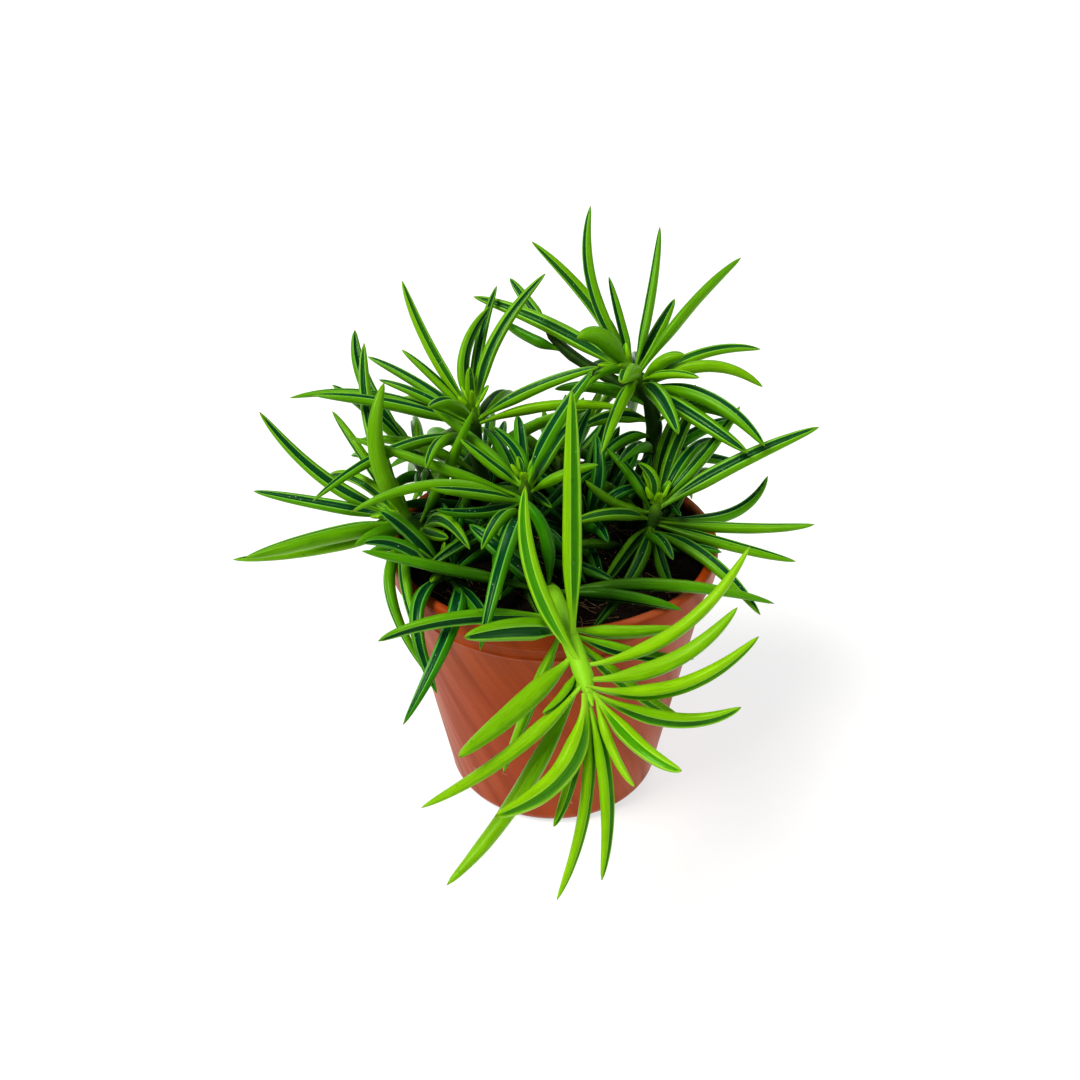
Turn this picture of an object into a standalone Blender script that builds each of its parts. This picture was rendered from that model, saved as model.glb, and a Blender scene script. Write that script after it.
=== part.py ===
# A peperomia with long pod-shaped leaves, growing in a round plastic pot.
# The origin is the centre of the pot's underside. +Z is up, +X is to the right and -Y is towards the viewer.
# Sizes below are in millimetres, and MM turns them into Blender's metres.

import math
import random

import bmesh
import bpy
import numpy as np

MM = 0.001

# Pot
POT_HEIGHT = 107.0
LIP_RADIUS = 60.0
LIP_HEIGHT = 8.0
LIP_INNER_RADIUS = 56.0
WALL_TOP_RADIUS = 58.2
FOOT_RADIUS = 42.3
FOOT_ROUNDING = 7.0
WALL_THICKNESS = 1.5
FLOOR_THICKNESS = 2.0
RIDGE_DROP = 5.5
RIDGE_HEIGHT = 0.45
RIDGE_HALF = 0.9
LIP_STEP = 0.5
DRAIN_HOLES = 6
DRAIN_HOLE_RADIUS = 3.5
DRAIN_CIRCLE_RADIUS = 25.0
POT_STEPS = 32
CUTTER_SIDES = 8
INNER_FOOT_STEPS = 3
LIP_STEPS = 6
OUTER_FOOT_STEPS = 4
AXIS_WELD = 0.1
SHARP_ANGLE = 35.0

# Soil
SOIL_LEVEL = 92.0
SOIL_BUMP = 1.3
SOIL_RINGS = 3
SOIL_EDGE_DROP = 0.5
GAP = 0.3
STEM_HOLE_GAP = 0.9
HOLE_RISE = 10.0

# Leaves and stems
VIEW_TILT = math.radians(36.7)
LEAF_STATIONS = (0.0, 0.15, 0.36, 0.62, 0.87, 1.0)
SHORT_LEAF = 50.0
SHORT_LEAF_STATIONS = (0.0, 0.18, 0.43, 0.79, 1.0)
LEAF_FULLNESS = 1.24
LEAF_ROOT_SHARE = 0.30
LEAF_SWELL_END = 0.34
LEAF_TAPER_DELAY = 3.4
LEAF_TAPER_ROUNDING = 0.64
LEAF_TIP_HALF = 0.40
LEAF_THINNEST = 0.62
MARGIN_LIFT = 0.40
KEEL_DROP = 0.95
GROOVE_LIFT = 0.02
LEAF_OUTWARD_LEAN = 0.25
LEAF_ROLL = 16.0
LEAF_CLEARANCE = 0.35
STEM_POINTS = 8
ROUTE_SAMPLES = 20
WELD_DISTANCE = 0.01
STEM_TIP_SHARE = 0.55
CROWN_TOP = 0.8
CROWN_DEPTH = 12.0
ROOT_OFFSET_SHARE = 0.6
GOLDEN_ANGLE = 137.5
FAN_ALTERNATION = 14.0
SPIRAL_ARCH = 4.0
HEADING_SPREAD = 8.0
RISE_SPREAD = 8.0
LENGTH_SPREAD = (0.83, 1.1)
WIDTH_SPREAD = (0.9, 1.1)
FIRST_SEED = 100
NO_LEAVES = (0,) * 7

# Each leaf of a crown is a row: right, up, near, width, arch, sway. The first three are where its tip lies from
# the crown, as seen from in front and above at VIEW_TILT. Arch lifts its middle and sway moves it to the right.
# A row that starts with "below" grows that far down the stem from its tip.
# A fan is leaves of the crown that spread by rule: count, first and last heading, rise, length, width, arch.
# A spiral is older leaves that wind down the stem: count, first and last distance below the tip, heading of
# the first, rise, length, width.
STEMS = {
    "stem_back_right": {
        "route": [(27, 29, 80), (27, 29, 94), (34, 31, 112), (38, 34, 128), (35, 35, 146), (26, 35, 158)],
        "radii": (3.3, 2.9),
        "colour": (0.10, 0.36, 0.03),
        "leaves": [
            (-13, 54, 10, 4.2, 0, -7),
            (-34, 45, 0, 4.4, 0, 4.5),
            (-57, 30, -15, 5.0, 3.5, 0),
            (-18, 5, 18, 5.8, 6, 0),
            (-6, 32, 0, 3.2, 0, 0),
            (13, 52, -5, 3.8, 0, 1),
            (19, 27, -10, 4.6, 0, 0),
            (42, 39, 0, 4.4, 4, 0),
            (50, 7, -5, 3.8, 5, 0),
            (21, 2, 6, 5.0, 3, 0),
            (49, -9, 5, 4.6, 8, 1),
            (25, -8, 15, 3.4, 2, 0),
            (47, -33, 20, 5.4, 6, 2),
            (44, -36, 12, 5.0, 2, 0),
            (17, -29, 22, 5.4, 4, 0),
            (-10, -37, 25, 4.6, 4, 0),
            (-3, -13, 30, 6.0, 3, 0),
            (-17, -14, 15, 3.2, 6, 0),
        ],
        "lower_leaves": [
            (34, 34, -6, -5, 4.2, 0, 0),
            (34, 17, -9, 5, 3.6, 0, 0),
            (25, -27, -4, 4, 4.6, 3, 0),
            (31, -24, -17, 8, 4.4, 3, 0),
            (37, -12, -22, 10, 4.4, 3, 0),
        ],
        "fan": (5, 50, 130, -36, 44, 4.6, 5),
        "spiral": (7, 18, 56, 190, 14, 38, 4.6),
    },
    "shoot_back_right": {
        "joins": "stem_back_right",
        "route": [(35, 35, 144), (22, 42, 149), (6, 50, 156), (-4, 60, 163)],
        "radii": (2.4, 1.8),
        "leaves": [
            (-16, 4, -5, 4.2, 0, 0),
            (-13, 21, -10, 3.8, 0, 0),
        ],
    },
    "stem_back_left": {
        "route": [(-22, 19, 80), (-22, 19, 94), (-26, 22, 114), (-29, 24, 132), (-29, 25, 147)],
        "radii": (3.2, 2.6),
        "colour": (0.09, 0.34, 0.03),
        "leaves": [
            (-26, 45, 0, 3.8, 0, -2.5),
            (-27, 21, -5, 3.5, 0, 0),
            (-40, 20, -10, 3.8, 2, 0),
            (-35, 10, -5, 3.4, 2, 0),
            (-70, 6, -15, 3.8, 8, 0),
            (-57, 2, 5, 4.4, 2, 0),
            (6, 37, -5, 4.4, 0, -6),
            (8, 47, -15, 3.6, 0, -3),
            (26, 46, 5, 4.2, 0, -6),
            (-1, 12, 5, 3.4, 0, 0),
            (-14, -7, 25, 5.0, 3, 0),
            (45, 10, 15, 4.2, 2, 0),
            (57, -2, 10, 4.2, 6, 0),
            (-54, -37, 20, 4.2, 7, 0),
        ],
        "fan": (5, 65, 150, -34, 44, 4.4, 4),
        "spiral": (7, 15, 48, 250, 10, 44, 4.4),
    },
    "stem_far_left": {
        "route": [(-33, 9, 80), (-33, 9, 94), (-42, 18, 108), (-50, 28, 120), (-53, 32, 127)],
        "radii": (2.6, 2.2),
        "colour": (0.07, 0.30, 0.03),
        "leaves": [
            (-23, 45, -5, 5.0, 0, -6),
            (-30, 22, 4, 4.0, 2, 0),
            (-8, -18, 8, 4.6, 3, 0),
        ],
        "fan": (3, 80, 135, -25, 38, 4.2, 6),
        "spiral": (3, 12, 34, 280, 15, 38, 4.2),
    },
    "stem_left": {
        "route": [(-31, -6, 80), (-31, -6, 94), (-42, -6, 108), (-51, -5, 115), (-57, -5, 120)],
        "radii": (3.0, 2.7),
        "colour": (0.11, 0.40, 0.03),
        "leaves": [
            (-47, 36, 0, 4.4, -5, 0),
            (-51, 8, -5, 4.2, 0, 0),
            (-50, -17, 10, 6.4, 2, 1),
            (-57, -17, 0, 4.4, -2, 0),
            (-12, -13, 10, 4.6, 2, 0),
            (0, 43, 15, 5.6, 0, -5),
            (-23, 37, -10, 3.8, 0, 0),
            (-12, 61, -5, 4.8, -1, -7),
            (23, -13, 20, 3.8, 2, 0),
            (29, 34, 15, 4.4, 0, 0),
            (15, -63, 14, 4.4, 0.5, -8),
            (17, -61, 20, 4.2, 0.5, -4.5),
        ],
        "fan": (3, 105, 160, -12, 36, 4.0, 5),
        "spiral": (4, 12, 30, 300, 12, 38, 4.4),
    },
    "stem_centre": {
        "route": [(-8, -6, 80), (-8, -6, 94), (-10, -7, 112), (-10, -10, 126), (-10, -10, 137)],
        "radii": (3.0, 2.6),
        "colour": (0.10, 0.38, 0.03),
        "leaves": [
            (23, 34, 10, 4.8, 0, -2),
            (25, 3, 6, 4.0, 2, 0),
            (-58, -14, 10, 4.2, 7, 0),
            (-31, -7, 15, 4.0, -2, 0),
            (-29, -14, 15, 4.0, -4, 0),
            (-11, 17, 0, 3.6, 0, 4),
            (-33, 25, -5, 4.0, 0, 0),
            (-22, 13, 0, 3.6, 0, 0),
            (-64, 15, -10, 4.2, 2, 0),
            (-14, -62, 30, 4.8, 6, 0),
        ],
        "lower_leaves": [
            (14, -6, -36, 24, 5.0, 4, 0),
            (18, 10, -34, 22, 4.6, 3, 0),
            (22, -24, -26, 18, 4.8, 3, 0),
            (16, -34, -24, 14, 4.6, 3, 0),
            (26, 24, -18, 14, 4.4, 3, 0),
            (29, -12, -20, 16, 4.6, 2, 0),
        ],
        "fan": (3, 40, 110, 0, 34, 4.0, 4),
        "spiral": (6, 13, 40, 120, 8, 42, 4.4),
    },
    "stem_middle": {
        "route": [(9, 6, 80), (9, 6, 94), (11, 4, 104), (12, 2, 112)],
        "radii": (2.6, 2.2),
        "colour": (0.05, 0.26, 0.02),
        "leaves": [
            (3, 31, 2, 4.6, 0, 0),
            (5, -23, 16, 4.4, 5, 0),
            (19, 19, -8, 4.2, 2, 0),
            (22, 11, 0, 4.0, 2, 0),
            (-19, 7, 2, 4.4, 2, 0),
            (-10, -22, 12, 4.6, 5, 0),
            (5, 43, -8, 4.6, 0, 2),
            (13, 37, -12, 4.8, 0, 0),
            (16, 34, -20, 5.0, 0, 0),
            (9, 41, -17, 5.0, 0, 0),
            (-4, 36, -12, 4.2, 0, 0),
            (21, 30, -14, 4.2, 2, 0),
        ],
        "spiral": (4, 4, 9, 150, 30, 32, 4.8),
    },
    "stem_right": {
        "route": [(24, -2, 80), (24, -2, 94), (32, -1, 106), (36, 0, 115), (37, 0, 122)],
        "radii": (3.0, 2.7),
        "colour": (0.10, 0.38, 0.03),
        "leaves": [
            (56, 24, 9, 5.2, -2.5, 0),
            (40, 12, -10, 4.4, 1, 1),
            (30, 35, -8, 4.2, 0, 0),
            (19, 43, -15, 4.2, 0, 0),
            (17, 47, -25, 4.0, 0, -4),
            (-7, 12, 5, 3.6, 0, 3),
            (53, -10, 10, 4.2, 0, 0),
            (48, -26, 5, 4.4, -5.5, -1),
            (5, -34, 20, 4.4, -2.5, 0),
            (-25, -46, 30, 4.4, 3, 4),
            (-26, 5, 12, 4.2, -4, 0),
            (-31, -11, 15, 4.2, 1, 0),
            (34, -48, 12, 4.8, -3, 1),
            (-21, -30, 18, 4.2, 2, 0),
            (-20, 19, -5, 4.0, 0, 0),
        ],
        "fan": (2, 40, 100, -5, 36, 4.0, 5),
        "spiral": (5, 11, 26, 150, 15, 36, 4.2),
    },
    "stem_front": {
        "route": [
            (-2, -24, 80),
            (-2, -24, 94),
            (-1, -38, 108),
            (2, -56, 112),
            (7, -71, 107),
            (10, -80, 103),
            (12, -87, 99),
        ],
        "radii": (3.6, 3.0),
        "colour": (0.24, 0.55, 0.03),
        "leaves": [],
        "lower_leaves": [
            (7, -50, -36, 15, 5.0, -2.5, 2.5),
            (2, -29, -34, 14, 6.8, -6.5, 7),
            (3, -11, -40, 3, 4.0, -6, 1.5),
            (1, -11, -62, -5, 4.2, -1.5, 3.5),
            (1, 3, -55, 0, 4.6, 0, 3.5),
            (2, 13, -26, 8, 3.2, -3, -0.5),
            (2, 27, -21, 10, 4.6, -5, 0.5),
            (3, 46, -3, 5, 4.8, -8, 2.5),
            (5, 52, 17, 5, 5.4, -9, 2),
            (8, 47, 23, 2, 5.4, -7.5, 3.5),
            (13, 53, 38, 0, 4.8, -9.5, 4.5),
            (9, -43, -64, 2, 6.2, -7.5, 1),
            (12, -14, -12, 6, 3.4, -1, 1),
            (17, -35, -30, 22, 7.4, -3.5, 2),
            (14, -17, 55, 10, 4.8, 0, -6),
            (23, 0, 76, 19, 5.4, 0.5, 0),
            (27, -32, -2, 16, 6.4, 2, 0),
            (27, 36, 1, -6, 4.8, -2, 0),
            (25, 40, -7, -2, 4.0, -2, 0),
            (24, 39, -28, -7, 4.4, -3, 0),
            (33, -58, -11, 2, 4.6, -4.5, -2.5),
            (28, -20, -46, 2, 4.4, 0, 0),
            (52, -26, 25, 5, 6.0, 0, 0),
            (52, -17, 30, 0, 5.0, 0, 0),
            (52, -62, 11, 5, 4.6, -2, 0),
            (52, 76, -4, -5, 4.6, 4, 0),
            (50, 43, -8, 3, 4.6, 0, 0),
        ],
    },
    "stem_low_left": {
        "route": [(-29, -23, 80), (-29, -23, 94), (-34, -27, 104), (-39, -30, 112)],
        "radii": (2.4, 2.1),
        "colour": (0.05, 0.26, 0.02),
        "leaves": [
            (-25, 8, 6, 4.0, 3, 0),
            (8, 22, 2, 4.2, 0, 0),
        ],
        "lower_leaves": [
            (3, -1, -43, 12, 4.2, 5.5, -6.5),
            (6, 17, -36, 20, 4.6, 2.5, 1.5),
            (9, -12, -57, 30, 5.0, -1, 10.5),
        ],
        "fan": (3, 20, 170, 20, 32, 4.6, 3),
    },
    "stem_back": {
        "route": [(4, 38, 80), (4, 38, 94), (3, 44, 106), (2, 50, 114)],
        "radii": (2.8, 2.4),
        "colour": (0.08, 0.32, 0.03),
        "leaves": [
            (-6, 18, -2, 4.4, 0, 0),
            (3, 25, -6, 4.6, 0, 1),
            (10, 22, 2, 4.4, 0, -1),
            (17, 28, -4, 4.8, 0, 0),
            (26, 22, 0, 4.6, 1, 0),
            (34, 9, -6, 4.4, 2, 0),
            (-17, 10, -4, 4.4, 2, 0),
        ],
        "fan": (6, 60, 170, -18, 48, 4.4, 8),
    },
    "stem_back_low_right": {
        "route": [(38, 20, 80), (38, 20, 94), (44, 24, 104), (48, 28, 111)],
        "radii": (2.6, 2.2),
        "colour": (0.08, 0.32, 0.03),
        "leaves": [],
        "fan": (5, 45, 125, -30, 32, 4.2, 4),
    },
    "stem_back_low_left": {
        "route": [(-20, 36, 80), (-20, 36, 94), (-26, 41, 104), (-30, 46, 111)],
        "radii": (2.6, 2.2),
        "colour": (0.08, 0.32, 0.03),
        "leaves": [],
        "fan": (6, 80, 180, -20, 42, 4.2, 9),
    },
}

# Keeping leaves clear of one another
SETTLE_STEPS = 140
SETTLE_SEGMENTS = 8
SETTLE_PUSH = 0.5
SETTLE_MOST_PUSH = 1.2
TOUCHING = 0.05
LEAST_WEIGHT = 0.3
TINY = 1e-9
CLEAR_ROOT_SHARE = 0.35
STEM_STRIDE = 4
POT_SAMPLES = 17
POT_MARGIN = 0.6
RIM_SLACK = 1.5
WALL_REACH = 6.0


def from_view(right, up, near):
    """A direction given across, up and towards a viewer who looks down at VIEW_TILT, as X, Y and Z."""
    sine = math.sin(VIEW_TILT)
    cosine = math.cos(VIEW_TILT)
    return np.array([right, up * sine - near * cosine, up * cosine + near * sine])


def unit(vector):
    return vector / np.linalg.norm(vector)


def smooth_route(route, spacing=1.0):
    """Points about spacing apart on a smooth curve through the route's points."""
    points = np.array(route, float)
    padded = np.vstack([2 * points[0] - points[1], points, 2 * points[-1] - points[-2]])
    dense = []
    for before, start, end, after in zip(padded, padded[1:], padded[2:], padded[3:]):
        for t in np.linspace(0, 1, ROUTE_SAMPLES, endpoint=False):
            dense.append(
                0.5
                * (
                    2 * start
                    + (end - before) * t
                    + (2 * before - 5 * start + 4 * end - after) * t**2
                    + (3 * start - before - 3 * end + after) * t**3
                )
            )
    dense = np.array(dense + [points[-1]])
    travelled = np.append(0, np.cumsum(np.linalg.norm(np.diff(dense, axis=0), axis=1)))
    steps = np.linspace(0, travelled[-1], max(2, round(travelled[-1] / spacing)))
    return np.stack([np.interp(steps, travelled, dense[:, axis]) for axis in range(3)], axis=1)


def place_below_tip(curve, below):
    """The point of a stem's curve this far below its tip, and the stem's direction there."""
    steps = np.linalg.norm(np.diff(curve, axis=0), axis=1)
    index = len(curve) - 1
    while index > 1 and below > 0:
        below -= steps[index - 1]
        index -= 1
    return curve[index], unit(curve[index] - curve[index - 1])


def drawn_leaf(draw, heading, rise, length, width):
    """A leaf's reach and width, a little unlike the heading, rise, length and width asked for."""
    turn = math.radians(heading + draw.uniform(-HEADING_SPREAD, HEADING_SPREAD))
    lift = math.radians(rise + draw.uniform(-RISE_SPREAD, RISE_SPREAD))
    way = np.array([math.cos(lift) * math.cos(turn), math.cos(lift) * math.sin(turn), math.sin(lift)])
    return length * draw.uniform(*LENGTH_SPREAD) * way, width * draw.uniform(*WIDTH_SPREAD)


def fan_rows(fan, draw):
    """Leaves that spread evenly between two headings, each higher or lower than the last."""
    count, first, last, rise, length, width, arch = fan
    rows = []
    for index in range(count):
        heading = first + (last - first) * (index + 0.5) / count
        reach, drawn_width = drawn_leaf(draw, heading, rise + FAN_ALTERNATION * (-1) ** index, length, width)
        rows.append((reach, drawn_width, arch, 0))
    return rows


def spiral_rows(spiral, draw):
    """Older leaves that wind down a stem, each turned from the last by the golden angle."""
    count, first_below, last_below, heading, rise, length, width = spiral
    rows = []
    for index in range(count):
        below = first_below + (last_below - first_below) * index / max(count - 1, 1)
        reach, drawn_width = drawn_leaf(draw, heading + GOLDEN_ANGLE * index, rise, length, width)
        rows.append((below, reach, drawn_width, SPIRAL_ARCH, 0))
    return rows


def crown_places(reaches, direction):
    """How far below the tip each leaf of a crown grows: the upright ones at the top, the leaning ones below."""
    lean = [-float(unit(reach) @ direction) for reach in reaches]
    order = sorted(range(len(reaches)), key=lambda index: lean[index])
    places = [0.0] * len(reaches)
    for rank, index in enumerate(order):
        places[index] = CROWN_TOP + (CROWN_DEPTH - CROWN_TOP) * rank / max(len(order) - 1, 1)
    return places


def grow_leaf(stem, node, curve, below, from_tip, row, draw):
    """A leaf as its root, the way to its tip, how far its middle bows aside, its width and its upper side."""
    reach, width, arch, sway = row
    axis_point, direction = place_below_tip(curve, below)
    start = curve[-1] if from_tip else axis_point
    outward = reach - (reach @ direction) * direction
    outward = unit(outward) if np.linalg.norm(outward) > 1 else unit(np.cross(direction, (1, 0, 0)))
    root = axis_point + outward * ROOT_OFFSET_SHARE * stem["radii"][1]
    return {
        "node": node,
        "root": root,
        "reach": start + reach - root,
        "bow": np.array([sway, 0, arch], float),
        "width": width * LEAF_FULLNESS,
        "upper": direction - LEAF_OUTWARD_LEAN * outward,
        "roll": math.radians(draw.uniform(-LEAF_ROLL, LEAF_ROLL)),
    }


def grow_plant():
    """All stem curves and leaves, before they are bent clear of one another."""
    curves = {}
    leaves = []
    for index, (name, stem) in enumerate(STEMS.items()):
        draw = random.Random(FIRST_SEED + index)
        node = stem.get("joins", name)
        curve = smooth_route(stem["route"])
        curves[name] = curve
        crown = [(from_view(*row[:3]), *row[3:]) for row in stem["leaves"]]
        crown += fan_rows(stem.get("fan", NO_LEAVES), draw)
        places = crown_places([row[0] for row in crown], unit(curve[-1] - curve[-4]))
        for below, row in zip(places, crown):
            leaves.append(grow_leaf(stem, node, curve, below, True, row, draw))
        lower = [(row[0], from_view(*row[1:4]), *row[4:]) for row in stem.get("lower_leaves", [])]
        lower += spiral_rows(stem.get("spiral", NO_LEAVES), draw)
        for below, *row in lower:
            leaves.append(grow_leaf(stem, node, curve, below, False, row, draw))
    return curves, leaves


def leaf_half_width(t, width):
    """Half the leaf's width at t, from a narrow stalk to its full width and then a long taper."""
    t = np.asarray(t, float)
    ramp = np.clip(t / LEAF_SWELL_END, 0, 1)
    swell = LEAF_ROOT_SHARE + (1 - LEAF_ROOT_SHARE) * ramp**2 * (3 - 2 * ramp)
    taper = (1 - t**LEAF_TAPER_DELAY) ** LEAF_TAPER_ROUNDING
    return np.maximum(0.5 * width * swell * taper, LEAF_TIP_HALF)


def leaf_line(root, reach, bow, t):
    """Points on leaves' middle lines, one row of points for each leaf."""
    return root[:, None] + t[None, :, None] * reach[:, None] + (4 * t * (1 - t))[None, :, None] * bow[:, None]


def nearest_on_segments(start_a, end_a, start_b, end_b):
    """How far along each of two segments their nearest points lie, and the way from the second to the first."""
    run_a = end_a - start_a
    run_b = end_b - start_b
    between = start_a - start_b
    aa = np.sum(run_a * run_a, axis=1)
    bb = np.sum(run_b * run_b, axis=1)
    ab = np.sum(run_a * run_b, axis=1)
    ar = np.sum(run_a * between, axis=1)
    br = np.sum(run_b * between, axis=1)
    spread = np.maximum(aa * bb - ab * ab, TINY)
    on_a = np.clip((ab * br - ar * bb) / spread, 0, 1)
    on_b = np.clip((ab * on_a + br) / bb, 0, 1)
    on_a = np.clip((ab * on_b - ar) / aa, 0, 1)
    return on_a, on_b, between + on_a[:, None] * run_a - on_b[:, None] * run_b


def move_leaves(reach, bow, owner, t, push):
    """Moves each owner leaf so that its point at t goes about by push."""
    mid_share = 4 * t * (1 - t)
    weight = np.maximum(mid_share**2 + t**2, LEAST_WEIGHT)
    change = np.zeros_like(reach)
    np.add.at(change, owner, (t / weight)[:, None] * push)
    mid_change = np.zeros_like(bow)
    np.add.at(mid_change, owner, (mid_share / weight)[:, None] * push)
    for target, step in ((reach, change), (bow, mid_change)):
        size = np.linalg.norm(step, axis=1, keepdims=True)
        target += step * np.minimum(1, SETTLE_MOST_PUSH / np.maximum(size, TINY))


def pot_push(points, radius):
    """The push that brings leaf points out of the soil, over the rim and off both sides of the wall."""
    across = np.maximum(np.hypot(points[..., 0], points[..., 1]), TINY)
    outward = points * (1, 1, 0) / across[..., None]
    height = points[..., 2]
    room = radius + POT_MARGIN
    share = np.clip(height / (POT_HEIGHT - LIP_HEIGHT), 0, 1)
    wall = FOOT_RADIUS + (LIP_RADIUS - FOOT_RADIUS) * share
    over_soil = across < LIP_INNER_RADIUS - RIM_SLACK
    hangs_out = (across[:, -1] > LIP_RADIUS - RIM_SLACK)[:, None]
    on_rim = hangs_out & ~over_soil & (across < LIP_RADIUS + RIM_SLACK)
    low = height < POT_HEIGHT + radius
    outside = across >= LIP_RADIUS + RIM_SLACK
    outside |= hangs_out & (height < SOIL_LEVEL) & (across > wall - WALL_REACH)
    up = np.where(over_soil, np.maximum(SOIL_LEVEL + SOIL_BUMP + room - height, 0), 0)
    up += np.where(on_rim, np.maximum(POT_HEIGHT + room - height, 0), 0)
    out = np.where(outside & low, np.maximum(wall + room - across, 0), 0)
    out -= np.where(~hangs_out & low, np.maximum(across + room - LIP_INNER_RADIUS + RIM_SLACK, 0), 0)
    return up[..., None] * np.array([0, 0, 1]) + out[..., None] * outward


def settle(curves, leaves):
    """Bends the leaves a little, step by step, until they lie clear of other stems, the soil and the pot."""
    root, reach, bow = (np.array([leaf[key] for leaf in leaves]) for key in ("root", "reach", "bow"))
    width = np.array([leaf["width"] for leaf in leaves])[:, None]
    rows = np.arange(len(leaves))
    t = np.linspace(0, 1, SETTLE_SEGMENTS + 1)
    half = leaf_half_width(t[None], width) * math.hypot(1, MARGIN_LIFT) + LEAF_CLEARANCE / 2
    stem_parts = []
    for name, curve in curves.items():
        coarse = np.vstack([curve[:-1:STEM_STRIDE], curve[-1:]])
        size = STEMS[name]["radii"][0] + LEAF_CLEARANCE / 2
        node = STEMS[name].get("joins", name)
        stem_parts += [(start, end, size, node) for start, end in zip(coarse, coarse[1:])]
    stem_starts, stem_ends, stem_sizes, stem_nodes = zip(*stem_parts)
    owner = np.append(np.repeat(rows, SETTLE_SEGMENTS), len(leaves) + np.arange(len(stem_parts)))
    is_stem = owner >= len(leaves)
    radius = np.append(np.maximum(half[:, 1:], half[:, :-1]).ravel(), stem_sizes)
    node = np.append(np.repeat([leaf["node"] for leaf in leaves], SETTLE_SEGMENTS), stem_nodes)
    first_t = np.append(np.tile(t[:-1], len(leaves)), np.ones(len(stem_parts)))
    free = first_t >= CLEAR_ROOT_SHARE
    tested = (owner[:, None] < owner) & ~(is_stem[:, None] & is_stem)
    tested &= (node[:, None] != node) | (free[:, None] & free)
    pot_t = np.linspace(0, 1, POT_SAMPLES)
    pot_half = leaf_half_width(pot_t[None], width)
    for _ in range(SETTLE_STEPS):
        points = leaf_line(root, reach, bow, t)
        start = np.vstack([points[:, :-1].reshape(-1, 3), stem_starts])
        end = np.vstack([points[:, 1:].reshape(-1, 3), stem_ends])
        middle = (start + end) / 2
        size = radius + np.linalg.norm(end - start, axis=1) / 2
        square = np.sum(middle**2, axis=1)
        apart_square = square[:, None] + square - 2 * middle @ middle.T
        a, b = np.nonzero(tested & (apart_square < (size[:, None] + size) ** 2))
        on_a, on_b, gap = nearest_on_segments(start[a], end[a], start[b], end[b])
        distance = np.linalg.norm(gap, axis=1)
        depth = radius[a] + radius[b] - distance
        pair = owner[a] * len(owner) + owner[b]
        order = np.lexsort((-depth, pair))
        order = order[depth[order] > 0]
        deepest = order[np.unique(pair[order], return_index=True)[1]]
        a, b, on_a, on_b, gap, depth = (values[deepest] for values in (a, b, on_a, on_b, gap, depth))
        sideways = np.cross(end[a] - start[a], end[b] - start[b])
        gap = np.where(distance[deepest, None] > TOUCHING, gap, sideways)
        push = gap / np.maximum(np.linalg.norm(gap, axis=1, keepdims=True), TINY) * depth[:, None] * SETTLE_PUSH
        push[~is_stem[b]] /= 2
        move_leaves(reach, bow, owner[a], first_t[a] + on_a / SETTLE_SEGMENTS, push)
        loose = ~is_stem[b]
        move_leaves(reach, bow, owner[b][loose], (first_t[b] + on_b / SETTLE_SEGMENTS)[loose], -push[loose])
        push = pot_push(leaf_line(root, reach, bow, pot_t), pot_half)
        worst = np.argmax(np.linalg.norm(push, axis=2), axis=1)
        move_leaves(reach, bow, rows, pot_t[worst], push[rows, worst] * SETTLE_PUSH)
    for leaf, leaf_reach, leaf_bow in zip(leaves, reach, bow):
        leaf["reach"] = leaf_reach
        leaf["bow"] = leaf_bow


def leaf_frames(leaf, stations):
    """At each station of a leaf: its middle point, its side and its upper direction."""
    t = np.asarray(stations, float)
    points = leaf_line(leaf["root"][None], leaf["reach"][None], leaf["bow"][None], t)[0]
    upper = leaf["upper"]
    frames = []
    for point, share in zip(points, t):
        along = unit(leaf["reach"] + 4 * (1 - 2 * share) * leaf["bow"])
        upper = unit(upper - (upper @ along) * along)
        side = np.cross(along, upper)
        turned = math.cos(leaf["roll"]) * upper + math.sin(leaf["roll"]) * side
        frames.append((point, np.cross(along, turned), turned))
    return frames


def clear_scene():
    for obj in list(bpy.data.objects):
        bpy.data.objects.remove(obj, do_unlink=True)


def new_collection(name):
    collection = bpy.data.collections.new(name)
    bpy.context.scene.collection.children.link(collection)
    return collection


def new_material(name, colour, roughness):
    material = bpy.data.materials.new(name)
    material.use_nodes = True
    shader = material.node_tree.nodes["Principled BSDF"]
    shader.inputs["Base Color"].default_value = (*colour, 1)
    shader.inputs["Roughness"].default_value = roughness
    shader.inputs["Metallic"].default_value = 0
    return material


def new_object(name, mesh, collection, material=None):
    obj = bpy.data.objects.new(name, mesh)
    collection.objects.link(obj)
    if material:
        mesh.materials.clear()
        mesh.materials.append(material)
    return obj


def upright_cutter(name, radius, x, y, bottom, top, collection):
    """A hidden upright cylinder that a Boolean cuts with."""
    bpy.ops.mesh.primitive_cylinder_add(
        vertices=CUTTER_SIDES,
        radius=radius * MM,
        depth=(top - bottom) * MM,
        location=(x * MM, y * MM, (bottom + top) / 2 * MM),
    )
    cutter = bpy.context.object
    cutter.name = name
    for owner in list(cutter.users_collection):
        owner.objects.unlink(cutter)
    collection.objects.link(cutter)
    cutter.hide_render = True
    cutter.display_type = "WIRE"


def cut_by(obj, name, cutters):
    cut = obj.modifiers.new(name, "BOOLEAN")
    cut.operand_type = "COLLECTION"
    cut.collection = cutters


def mesh_from(name, build):
    """A mesh whose shape build makes in a bmesh, with its normals turned outward."""
    shape = bmesh.new()
    build(shape)
    bmesh.ops.recalc_face_normals(shape, faces=shape.faces)
    mesh = bpy.data.meshes.new(name)
    shape.to_mesh(mesh)
    shape.free()
    return mesh


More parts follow.
